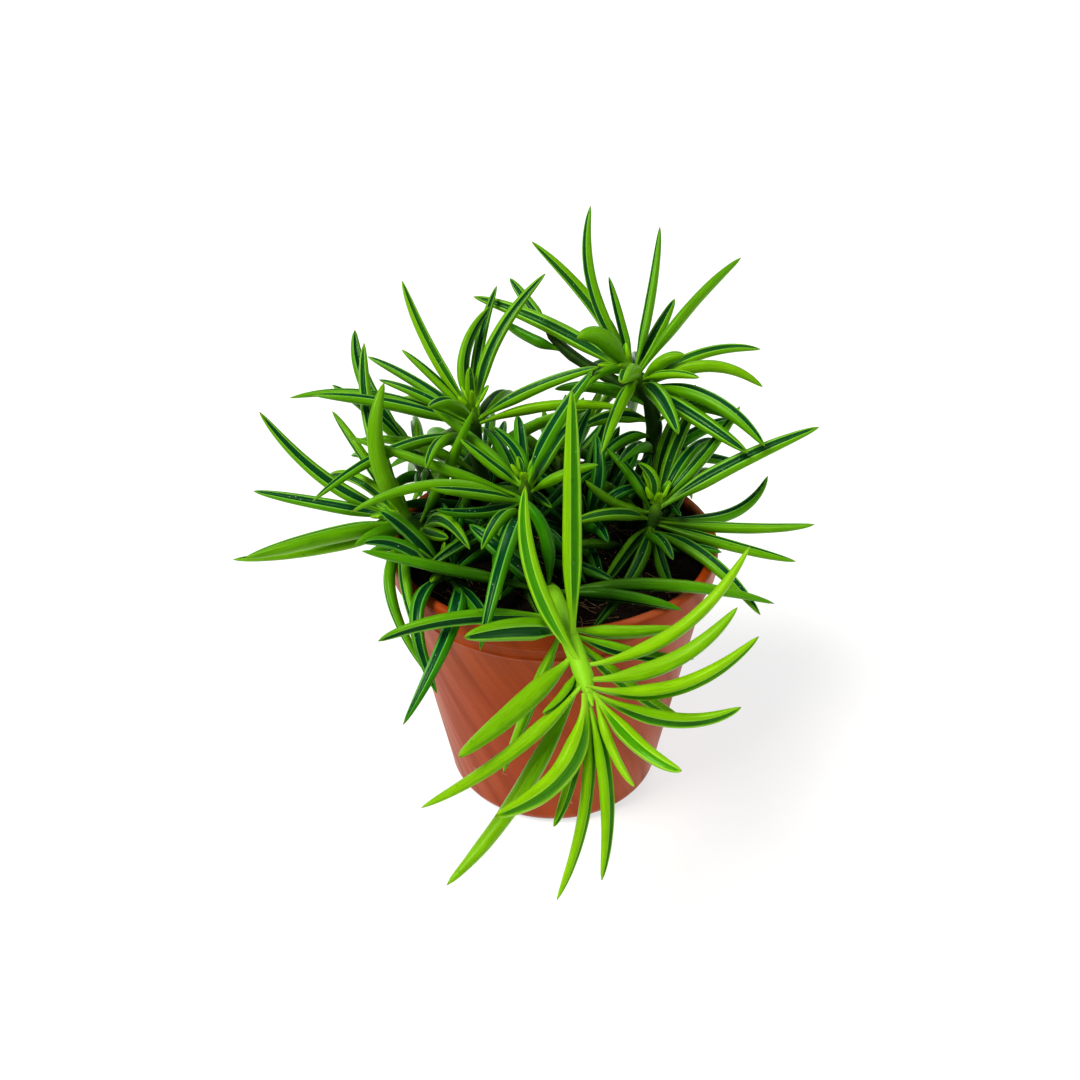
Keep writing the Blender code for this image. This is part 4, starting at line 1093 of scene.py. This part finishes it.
def leafHalfWidth(t, width):
    ramp = np.clip(np.asarray(t, float) / blade["swellEnd"], 0, 1)
    swell = blade["rootShare"] + (1 - blade["rootShare"]) * ramp**2 * (3 - 2 * ramp)
    taper = (1 - np.asarray(t, float) ** blade["taperDelay"]) ** blade["taperRounding"]
    return np.maximum(0.5 * width * swell * taper, blade["tipHalf"])


def leafLine(root, reach, bow, t):
    return root[:, None] + t[None, :, None] * reach[:, None] + (4 * t * (1 - t))[None, :, None] * bow[:, None]


def nearestOnSegments(startA, endA, startB, endB):
    # how far along each of two segments their nearest points lie, and the way from the second to the first
    runA = endA - startA
    runB = endB - startB
    between = startA - startB
    aa = np.sum(runA * runA, axis=1)
    bb = np.sum(runB * runB, axis=1)
    ab = np.sum(runA * runB, axis=1)
    ar = np.sum(runA * between, axis=1)
    br = np.sum(runB * between, axis=1)
    spread = np.maximum(aa * bb - ab * ab, tiny)
    onA = np.clip((ab * br - ar * bb) / spread, 0, 1)
    onB = np.clip((ab * onA + br) / bb, 0, 1)
    onA = np.clip((ab * onB - ar) / aa, 0, 1)
    return onA, onB, between + onA[:, None] * runA - onB[:, None] * runB


def moveLeaves(reach, bow, owner, t, push):
    midShare = 4 * t * (1 - t)
    weight = np.maximum(midShare**2 + t**2, easing["leastWeight"])
    change = np.zeros_like(reach)
    np.add.at(change, owner, (t / weight)[:, None] * push)
    midChange = np.zeros_like(bow)
    np.add.at(midChange, owner, (midShare / weight)[:, None] * push)
    for target, step in ((reach, change), (bow, midChange)):
        size = np.linalg.norm(step, axis=1, keepdims=True)
        target += step * np.minimum(1, easing["mostPush"] / np.maximum(size, tiny))


def potPush(points, radius):
    # the push that brings leaf points out of the soil, over the rim and off both sides of the wall
    across = np.maximum(np.hypot(points[..., 0], points[..., 1]), tiny)
    outward = points * (1, 1, 0) / across[..., None]
    height = points[..., 2]
    slack = easing["rimSlack"]
    room = radius + easing["potMargin"]
    share = np.clip(height / (pot["height"] - pot["lipHeight"]), 0, 1)
    wall = pot["foot"] + (pot["lipRadius"] - pot["foot"]) * share
    overSoil = across < pot["lipInner"] - slack
    hangsOut = (across[:, -1] > pot["lipRadius"] - slack)[:, None]
    onRim = hangsOut & ~overSoil & (across < pot["lipRadius"] + slack)
    low = height < pot["height"] + radius
    outside = across >= pot["lipRadius"] + slack
    outside |= hangsOut & (height < soil["level"]) & (across > wall - easing["wallReach"])
    up = np.where(overSoil, np.maximum(soil["level"] + soil["bump"] + room - height, 0), 0)
    up += np.where(onRim, np.maximum(pot["height"] + room - height, 0), 0)
    out = np.where(outside & low, np.maximum(wall + room - across, 0), 0)
    out -= np.where(~hangsOut & low, np.maximum(across + room - pot["lipInner"] + slack, 0), 0)
    return up[..., None] * np.array([0, 0, 1]) + out[..., None] * outward


def easeApart(curves, leaves):
    # bends the leaves a little, step by step, until they lie clear of other stems, the soil and the pot
    root, reach, bow = (np.array([leaf[key] for leaf in leaves]) for key in ("root", "reach", "bow"))
    width = np.array([leaf["width"] for leaf in leaves])[:, None]
    rows = np.arange(len(leaves))
    segments = easing["segments"]
    t = np.linspace(0, 1, segments + 1)
    half = leafHalfWidth(t[None], width) * math.hypot(1, blade["marginLift"]) + blade["clearance"] / 2
    stemParts = []
    for name, curve in curves.items():
        coarse = np.vstack([curve[:-1:easing["stemStride"]], curve[-1:]])
        size = stems[name]["radii"][0] + blade["clearance"] / 2
        node = stems[name].get("joins", name)
        stemParts += [(start, end, size, node) for start, end in zip(coarse, coarse[1:])]
    stemStarts, stemEnds, stemSizes, stemNodes = zip(*stemParts)
    owner = np.append(np.repeat(rows, segments), len(leaves) + np.arange(len(stemParts)))
    isStem = owner >= len(leaves)
    radius = np.append(np.maximum(half[:, 1:], half[:, :-1]).ravel(), stemSizes)
    node = np.append(np.repeat([leaf["node"] for leaf in leaves], segments), stemNodes)
    firstT = np.append(np.tile(t[:-1], len(leaves)), np.ones(len(stemParts)))
    free = firstT >= easing["clearRoot"]
    tested = (owner[:, None] < owner) & ~(isStem[:, None] & isStem)
    tested &= (node[:, None] != node) | (free[:, None] & free)
    potT = np.linspace(0, 1, easing["potSamples"])
    potHalf = leafHalfWidth(potT[None], width)
    for _ in range(easing["steps"]):
        points = leafLine(root, reach, bow, t)
        start = np.vstack([points[:, :-1].reshape(-1, 3), stemStarts])
        end = np.vstack([points[:, 1:].reshape(-1, 3), stemEnds])
        middle = (start + end) / 2
        size = radius + np.linalg.norm(end - start, axis=1) / 2
        square = np.sum(middle**2, axis=1)
        apartSquare = square[:, None] + square - 2 * middle @ middle.T
        a, b = np.nonzero(tested & (apartSquare < (size[:, None] + size) ** 2))
        onA, onB, gap = nearestOnSegments(start[a], end[a], start[b], end[b])
        distance = np.linalg.norm(gap, axis=1)
        depth = radius[a] + radius[b] - distance
        pair = owner[a] * len(owner) + owner[b]
        order = np.lexsort((-depth, pair))
        order = order[depth[order] > 0]
        deepest = order[np.unique(pair[order], return_index=True)[1]]
        a, b, onA, onB, gap, depth = (values[deepest] for values in (a, b, onA, onB, gap, depth))
        sideways = np.cross(end[a] - start[a], end[b] - start[b])
        gap = np.where(distance[deepest, None] > easing["touching"], gap, sideways)
        length = np.maximum(np.linalg.norm(gap, axis=1, keepdims=True), tiny)
        push = gap / length * depth[:, None] * easing["push"]
        push[~isStem[b]] /= 2
        moveLeaves(reach, bow, owner[a], firstT[a] + onA / segments, push)
        loose = ~isStem[b]
        moveLeaves(reach, bow, owner[b][loose], (firstT[b] + onB / segments)[loose], -push[loose])
        push = potPush(leafLine(root, reach, bow, potT), potHalf)
        worst = np.argmax(np.linalg.norm(push, axis=2), axis=1)
        moveLeaves(reach, bow, rows, potT[worst], push[rows, worst] * easing["push"])
    for leaf, leafReach, leafBow in zip(leaves, reach, bow):
        leaf["reach"] = leafReach
        leaf["bow"] = leafBow


# Fine leaves and stems around those lines, in metres
fineLeaf = {
    "Rings": 36,
    "Leaf sides": 24,
    "Root share": blade["rootShare"],
    "Swell end": blade["swellEnd"],
    "Taper delay": blade["taperDelay"],
    "Taper rounding": 0.58,
    "Tip half": 0.00013,
    "Top start": 0.1,
    "Top rise": 0.56,
    "Keel drop": 0.94,
    "Ridge place": 0.52,
    "Ridge width": 0.11,
    "Ridge height": 0.09,
    "Groove width": 0.34,
    "Groove depth": 0.34,
    "Groove start": 0.03,
    "Groove whole": 0.22,
    "Unevenness": 0.10,
    "Unevenness scale": 95.0,
    "Stem rings": 10,
    "Stem sides": 20,
    "Stem grain": 0.0005,
    "Stem grain scale": 420.0,
    "Knuckle pitch": 0.0075,
    "Knuckle height": 0.00028,
    "Knuckle sharpness": 6.0,
}
dressing = {
    "seed": 7,
    "leafTurn": 30.0,  # how far a leaf may be turned about its own line, in degrees
    "windowsFace": {"stem_front": (0.4, -0.62, -0.6)},
    "points": 16,
    "rootReach": 0.045,  # how far a leaf runs on into its stem, as a share of its length
    "tipDome": 1.6,  # the length of a stem's rounded end, in millimetres
    "thinnestDome": 0.02,
}
heart = {
    "heartless": ("stem_front", "shoot_back_right"),
    "seed": 41,
    "count": 4,
    "length": (6.0, 11.0),
    "width": (2.4, 3.4),
    "lean": (20, 55),
    "firstTurn": 40,
    "arch": 0.8,  # for each 10 mm of length
    "below": 1.2,
    "rootOut": 1.2,
    "outwardLean": 0.8,
    "younger": 0.3,
}


def knownPath(points, ways, upper, roll, **known):
    # a line with its side and upper directions at each point, and the values that its points know
    sides, uppers = [], []
    for along in ways:
        upper = unit(upper - (upper @ along) * along)
        side = np.cross(along, upper)
        rolled = math.cos(roll) * upper + math.sin(roll) * side
        sides.append(np.cross(along, rolled))
        uppers.append(rolled)
    spread = {key: np.broadcast_to(value, len(points)) for key, value in known.items()}
    return {"points": points, "side": sides, "upper": uppers} | spread


def leafPath(leaf):
    t = np.linspace(-dressing["rootReach"], 1, dressing["points"])
    points = leafLine(leaf["root"][None], leaf["reach"][None], leaf["bow"][None], t)[0]
    ways = [unit(leaf["reach"] + 4 * (1 - 2 * share) * leaf["bow"]) for share in t]
    known = {"share": np.maximum(t, 0), "breadth": leaf["width"], "stalk": 0.0}
    known |= {key: leaf[key] for key in ("youth", "mark")}
    return knownPath(points, ways, leaf["upper"], leaf["roll"], **known)


def stalkPath(curve, radii, youth):
    count = len(curve)
    ways = [unit(curve[min(index + 1, count - 1)] - curve[max(index - 1, 0)]) for index in range(count)]
    share = np.linspace(0, 1, count)
    toTip = np.clip((1 - share) * (count - 1) / dressing["tipDome"], 0, 1)
    dome = np.sqrt(np.clip(1 - (1 - toTip) ** 2, dressing["thinnestDome"], 1))
    breadth = 2 * (radii[0] + (radii[1] - radii[0]) * share) * dome
    known = {"share": share, "breadth": breadth, "youth": youth, "mark": np.linspace(0, count * mm, count)}
    return knownPath(curve, ways, np.array((0.0, -1.0, 0.0)), 0.0, stalk=1.0, **known)


def heartLeaves(curves):
    # the small young leaves in the heart of each crown
    draw = random.Random(heart["seed"])
    leaves = []
    for name, stem in stems.items():
        if name in heart["heartless"]:
            continue
        for index in range(heart["count"]):
            turn = math.radians(growth["goldenAngle"] * index + heart["firstTurn"])
            lean = math.radians(draw.uniform(*heart["lean"]))
            length = draw.uniform(*heart["length"])
            width = draw.uniform(*heart["width"])
            point, direction = placeBelowTip(curves[name], heart["below"] * index / heart["count"])
            first = unit(np.cross(direction, (1, 0, 0)))
            outward = math.cos(turn) * first + math.sin(turn) * np.cross(direction, first)
            way = math.cos(lean) * direction + math.sin(lean) * outward
            leaves.append({
                "node": stem.get("joins", name),
                "root": point + outward * heart["rootOut"],
                "reach": way * length,
                "bow": direction * heart["arch"] * length / 10,
                "width": width,
                "upper": direction - heart["outwardLean"] * outward,
                "roll": 0.0,
                "youth": min(1.0, stem["youth"] + heart["younger"]),
                "mark": turn,
            })
    return leaves


def leafyStemRecipe(leafSkin, stemSkin):
    bench, wires = newRecipe("leafyStem", fineLeaf | {"Leaf skin": leafSkin, "Stem skin": stemSkin})
    isStalk = bench.maths("GREATER_THAN", named(bench, "stalk"), 0.5)
    sockets = {"Geometry": wires["Geometry"], "Selection": isStalk}
    parts = bench.node("GeometryNodeSeparateGeometry", {"domain": "POINT"}, sockets)
    side = bench.vector("NORMALIZE", named(bench, "side", "FLOAT_VECTOR"))
    upper = bench.vector("NORMALIZE", named(bench, "upper", "FLOAT_VECTOR"))
    spine = named(bench, "spine", "FLOAT_VECTOR")

    def sweep(paths, count, corners):
        # a tube along each path that remembers its path's middle line and how far round it each point is
        line = bench.node("GeometryNodeMeshToCurve", None, {"Mesh": paths})
        line = bench.node("GeometryNodeCurveSplineType", {"spline_type": "CATMULL_ROM"}, {"Curve": line})
        line = bench.node("GeometryNodeResampleCurve", None, {"Curve": line, "Count": count})
        line = kept(bench, line, "spine", bench.node("GeometryNodeInputPosition"), "FLOAT_VECTOR")
        ring = bench.node("GeometryNodeCurvePrimitiveCircle", None, {"Resolution": corners, "Radius": 1.0})
        turn = bench.node("GeometryNodeSplineParameter", None, None, "Index") * math.tau / corners
        sockets = {"Curve": line, "Profile Curve": kept(bench, ring, "turn", turn), "Fill Caps": True}
        return bench.node("GeometryNodeCurveToMesh", None, sockets)

    def placed(tube, right, high, skin):
        offset = bench.vector("ADD", bench.scaled(side, right), bench.scaled(upper, high))
        sockets = {"Geometry": tube, "Position": bench.vector("ADD", spine, offset)}
        tube = bench.node("GeometryNodeSetPosition", None, sockets)
        tube = bench.node("GeometryNodeSetShadeSmooth", None, {"Geometry": tube, "Shade Smooth": True})
        return skinned(bench, tube, skin)

    # leaves: a stalk that swells into a boat with a groove along its top, then tapers to a point
    share = named(bench, "share")
    turn = named(bench, "turn")
    breadth = named(bench, "breadth")
    swell = bench.between(share, 0.0, wires["Swell end"], wires["Root share"], 1.0)
    taper = bench.maths("MAXIMUM", 1 - share ** wires["Taper delay"], 0.0) ** wires["Taper rounding"]
    drift = bench.noise(spine, wires["Unevenness scale"], 1) - 0.5
    half = breadth * 0.5 * swell * taper * (1 + drift * wires["Unevenness"])
    half = bench.maths("MAXIMUM", half, wires["Tip half"])
    cosine = bench.maths("COSINE", turn)
    sine = bench.maths("SINE", turn)
    top = bench.maths("MAXIMUM", sine, 0.0)
    under = bench.maths("MAXIMUM", -1 * sine, 0.0)
    fromRidge = bench.maths("ABSOLUTE", cosine) - wires["Ridge place"]
    ridge = bench.maths("EXPONENT", -1 * (fromRidge / wires["Ridge width"]) ** 2.0) * wires["Ridge height"]
    groove = bench.between(fromRidge, 0.0, -1 * wires["Groove width"]) * wires["Groove depth"]
    opened = bench.between(share, wires["Groove start"], wires["Groove whole"])
    opened = opened * bench.maths("GREATER_THAN", sine, wires["Top start"])
    high = top * wires["Top rise"] - under * wires["Keel drop"] + (ridge - groove) * opened
    leaves = sweep(parts.out("Inverted"), wires["Rings"], wires["Leaf sides"])
    leaves = placed(leaves, cosine * half, high * half, wires["Leaf skin"])
    leaves = kept(bench, kept(bench, leaves, "across", cosine), "topside", sine)
    # stems: round, with a low knuckle where each old leaf grew
    knuckle = bench.maths("PINGPONG", named(bench, "mark") / wires["Knuckle pitch"], 0.5) * 2.0
    old = 1 - named(bench, "youth")
    lump = bench.noise(spine, wires["Stem grain scale"], 2) - 0.5
    rise = knuckle ** wires["Knuckle sharpness"] * wires["Knuckle height"] * old
    girth = breadth * 0.5 + rise + lump * wires["Stem grain"]
    stalk = sweep(parts.out("Selection"), wires["Stem rings"], wires["Stem sides"])
    stalk = placed(stalk, cosine * girth, sine * girth, wires["Stem skin"])
    joined = bench.node("GeometryNodeJoinGeometry")
    for part in (leaves, stalk):
        bench.tree.links.new(part.socket, joined.socket.node.inputs[0])
    return endRecipe(bench, joined)


greens = {
    "oldFlank": (44, 122, 0),
    "freshFlank": (136, 188, 6),
    "oldWindow": (0, 70, 40),
    "freshWindow": (74, 152, 4),
    # the ridge colours are the leaf's paler window edge and also a painted highlight
    "oldRidge": (112, 186, 92),
    "freshRidge": (168, 222, 66),
    "oldStalk": (112, 178, 14),
    "freshStalk": (158, 208, 52),
    "glint": (206, 236, 214),
    "tip": (120, 110, 40),
    "fleck": (12, 50, 10),
    "oldStem": (30, 60, 14),
    "freshStem": (140, 200, 36),
    "oldScar": (70, 66, 34),
    # painted shade deep among the leaves
    "deep": (0, 34, 6),
}
leafLook = {
    # how strong each mark is
    "tints": {"keel": 0.30, "ridge": 0.62, "window": 0.94, "stalk": 0.8, "tip": 0.6},
    # painted shade deep in the plant: share and colour
    "deep": (0.74, greens["deep"]),
    "fleck": (0.35, greens["fleck"]),
    "glint": (0.75, greens["glint"]),
    "ageByLeaf": 0.40,
    "ageByPlace": 0.25,
    "clouds": (75, 2),
    "streakPath": (1.2, 1.4),
    "streakStretch": (7, 2, 9),
    "streaks": (2.2, 3, 0.6),
    "streakShade": (0.3, 0.7, 0.84, 1.10),
    "streakShift": 0.08,
    # where a mark starts and where it is full. Over runs from -1, underside, to 1, top; across from 0, the
    # middle line, to 1, margin; along from 0, root, to 1, tip. Low is the height above the foot and within
    # the distance from the axis, both in metres
    "topOver": (0.0, 0.3),
    "topAlong": (0.04, 0.2),
    "topEnd": (0.995, 0.93),
    "windowAcross": (0.48, 0.36),
    "windowAge": (0.45, 1.0),
    "ridgeAcross": (0.38, 0.50),
    "ridgeEnd": (0.66, 0.54),
    "keelOver": (-0.35, -0.95),
    "stalkAlong": (0.15, 0.0),
    "tipAlong": (0.975, 0.998),
    # painted shade: low down, near the axis and on older leaves
    "crownShadeLow": (0.138, 0.106),
    "crownShadeWithin": (0.064, 0.046),
    "crownShadeYouth": (0.85, 0.55),
    "fleckDots": (260, 0.16, 0.07),
    "fleckPatches": (130, 1, 0.55, 0.64),
    "glintDots": (700, 0.22, 0.10),
    "glintPatches": (210, 1, 0.56, 0.66),
    "grain": (900, 2),
    "streakDepth": 0.6,
    "grainDepth": 0.5,
    "relief": (0.00016, 0.5),
    "roughness": 0.34,
    "windowGloss": 0.10,
    "streakRoughness": 0.12,
}
stemLook = {
    "clouds": (120, 3),
    "freshYouth": (0.55, 0.9),
    # the stems grow brighter up their length: partly their own age, partly painted shade under the crowns
    "freshAndLitAlong": (0.05, 0.6),
    "tipAlong": (0.86, 1.0),
    "ageByPlace": 0.3,
    "scar": (0.6, greens["oldScar"]),
    "scarAlong": (0.86, 0.98),
    "scarPatches": (0.45, 0.6),
    "grain": (600, 3),
    "relief": (0.0002, 0.5),
    "roughness": 0.42,
    "cloudRoughness": 0.12,
}
flesh = {
    "IOR": 1.45,
    "Specular Tint": paint(186, 236, 150),
    "Subsurface Weight": 0.12,
    "Subsurface Radius": (0.0012, 0.0024, 0.0006),
    "Subsurface Scale": 1.0,
}


def byAge(bench, age, name):
    return bench.blend(age, paint(*greens["old" + name]), paint(*greens["fresh" + name]))


def leafSkin():
    bench = newMaterial("leafSkin")
    side, share, topside = (bench.attribute(name) for name in ("across", "share", "topside"))
    youth, mark = bench.attribute("youth"), bench.attribute("mark")
    place = bench.objectPlace()
    across = bench.maths("ABSOLUTE", side)

    def where(value, name):
        return bench.between(value, *leafLook[name])

    wide, long = leafLook["streakPath"]
    path = bench.mapped(bench.joined(side * wide, share * long, mark), leafLook["streakStretch"])
    streak = bench.noise(path, *leafLook["streaks"])
    cloud = bench.noise(place, *leafLook["clouds"])
    spread = (mark - 0.5) * leafLook["ageByLeaf"] + (cloud - 0.5) * leafLook["ageByPlace"]
    age = bench.clamped(youth + spread)
    stalk = byAge(bench, age, "Stalk")
    onTop = where(topside, "topOver") * where(share, "topAlong") * where(share, "topEnd")
    inner = across + (streak - 0.5) * leafLook["streakShift"]
    pane = where(inner, "windowAcross") * onTop
    marks = {
        "keel": (where(topside, "keelOver"), stalk),
        # ridge: a pale line along the window's edge, partly the leaf's own and partly a painted highlight
        "ridge": (where(inner, "ridgeAcross") * where(inner, "ridgeEnd") * onTop, byAge(bench, age, "Ridge")),
        "window": (pane, byAge(bench, where(age, "windowAge"), "Window")),
        "stalk": (where(share, "stalkAlong"), stalk),
        "tip": (where(share, "tipAlong"), paint(*greens["tip"])),
    }
    tint = byAge(bench, age, "Flank")
    for name, (mask, colour) in marks.items():
        tint = bench.blend(mask * leafLook["tints"][name], tint, colour)
    # painted shade: older leaves low down and near the middle of the plant are darkened
    deep = where(bench.axis(place, "Z"), "crownShadeLow") * where(bench.fromAxis(place), "crownShadeWithin")
    tint = bench.coat(tint, deep * where(youth, "crownShadeYouth"), *leafLook["deep"])
    fleck = bench.dots(place, *leafLook["fleckDots"]) * bench.patches(place, *leafLook["fleckPatches"])
    tint = bench.coat(tint, fleck, *leafLook["fleck"])
    glint = bench.dots(place, *leafLook["glintDots"]) * bench.patches(place, *leafLook["glintPatches"])
    tint = bench.coat(tint, glint * pane * (1 - youth), *leafLook["glint"])
    shade = where(streak, "streakShade")
    grey = bench.node("ShaderNodeCombineColor", None, {"Red": shade, "Green": shade, "Blue": shade})
    grain = streak * leafLook["streakDepth"] + bench.noise(place, *leafLook["grain"]) * leafLook["grainDepth"]
    rough = leafLook["roughness"] - pane * leafLook["windowGloss"]
    sockets = {
        "Base Color": bench.blend(1.0, tint, grey, "MULTIPLY"),
        "Roughness": rough + (streak - 0.5) * leafLook["streakRoughness"],
        "Normal": bench.bump(grain, *leafLook["relief"]),
        "Specular IOR Level": 0.4,
    }
    return bench.finish(flesh | sockets)


def stemSkin():
    bench = newMaterial("stemSkin")
    place = bench.objectPlace()
    youth, share, mark = (bench.attribute(name) for name in ("youth", "share", "mark"))
    cloud = bench.noise(place, *stemLook["clouds"])
    # stems darken towards their roots: partly their own age and partly painted shade under the leaves
    fresh = bench.between(youth, *stemLook["freshYouth"]) * bench.between(share, *stemLook["freshAndLitAlong"])
    freshest = bench.maths("MAXIMUM", fresh, youth * bench.between(share, *stemLook["tipAlong"]))
    tint = byAge(bench, bench.clamped(freshest + (cloud - 0.5) * stemLook["ageByPlace"]), "Stem")
    knuckle = bench.maths("PINGPONG", mark / fineLeaf["Knuckle pitch"], 0.5) * 2.0
    scar = bench.between(knuckle, *stemLook["scarAlong"]) * bench.between(cloud, *stemLook["scarPatches"])
    sockets = {
        "Base Color": bench.coat(tint, scar * (1 - youth), *stemLook["scar"]),
        "Roughness": stemLook["roughness"] + cloud * stemLook["cloudRoughness"],
        "Normal": bench.bump(bench.noise(place, *stemLook["grain"]), *stemLook["relief"]),
    }
    return bench.finish(flesh | sockets)


def pathMesh(name, paths):
    # one mesh of loose lines, with what each of their points knows
    mesh = bpy.data.meshes.new(name)
    points = np.vstack([path["points"] for path in paths]) * mm
    edges = []
    first = 0
    for path in paths:
        count = len(path["points"])
        edges += [(first + index, first + index + 1) for index in range(count - 1)]
        first += count
    mesh.from_pydata(points.tolist(), edges, [])

    def know(key, values, kind, slot):
        known = mesh.attributes.new(key, kind, "POINT")
        known.data.foreach_set(slot, values.astype(np.float32).ravel())

    for key in ("side", "upper"):
        know(key, np.vstack([path[key] for path in paths]), "FLOAT_VECTOR", "vector")
    for key in ("share", "youth", "stalk", "mark", "breadth"):
        values = np.concatenate([path[key] for path in paths])
        know(key, values * (mm if key == "breadth" else 1), "FLOAT", "value")
    return mesh


def pieceName(node):
    # stem_back_right becomes leafyStemBackRight
    return "leafy" + "".join(word.capitalize() for word in node.split("_"))


def addPlant():
    curves, leaves = growPlant()
    easeApart(curves, leaves)
    draw = random.Random(dressing["seed"])
    most = dressing["leafTurn"]
    for leaf in leaves:
        leaf["mark"] = draw.random()
        leaf["upper"] = np.array(dressing["windowsFace"].get(leaf["node"], leaf["upper"]), float)
        leaf["roll"] += math.radians(draw.uniform(-most, most))
        aged = growth["ageing"] * max(0.0, leaf["below"] - growth["freshReach"])
        leaf["youth"] = max(0.0, leaf["youth"] - aged)
    print(f"stage: {len(leaves)} leaves are bent clear of one another")
    leaves += heartLeaves(curves)
    skins = {"Leaf skin": leafSkin(), "Stem skin": stemSkin()}
    recipe = leafyStemRecipe(*skins.values())
    for node in stems:
        if "joins" in stems[node]:
            continue
        paths = [leafPath(leaf) for leaf in leaves if leaf["node"] == node]
        for name, stem in stems.items():
            if stem.get("joins", name) == node:
                paths.append(stalkPath(curves[name], stem["radii"], stem["youth"]))
        piece = newObject(pieceName(node), pathMesh(pieceName(node), paths))
        cook(piece, recipe, fineLeaf | skins)
        for key in ("side", "upper", "spine", "turn", "stalk", "breadth"):
            piece.data.attributes.remove(piece.data.attributes[key])
        turnOutward(piece.data)
        settleOn(piece, f"{node}_green", node)
        print(f"stage: {piece.name} has {len(piece.data.polygons)} faces")


addCamera()
addStudio()
addPot()
addSoil()
addPlant()
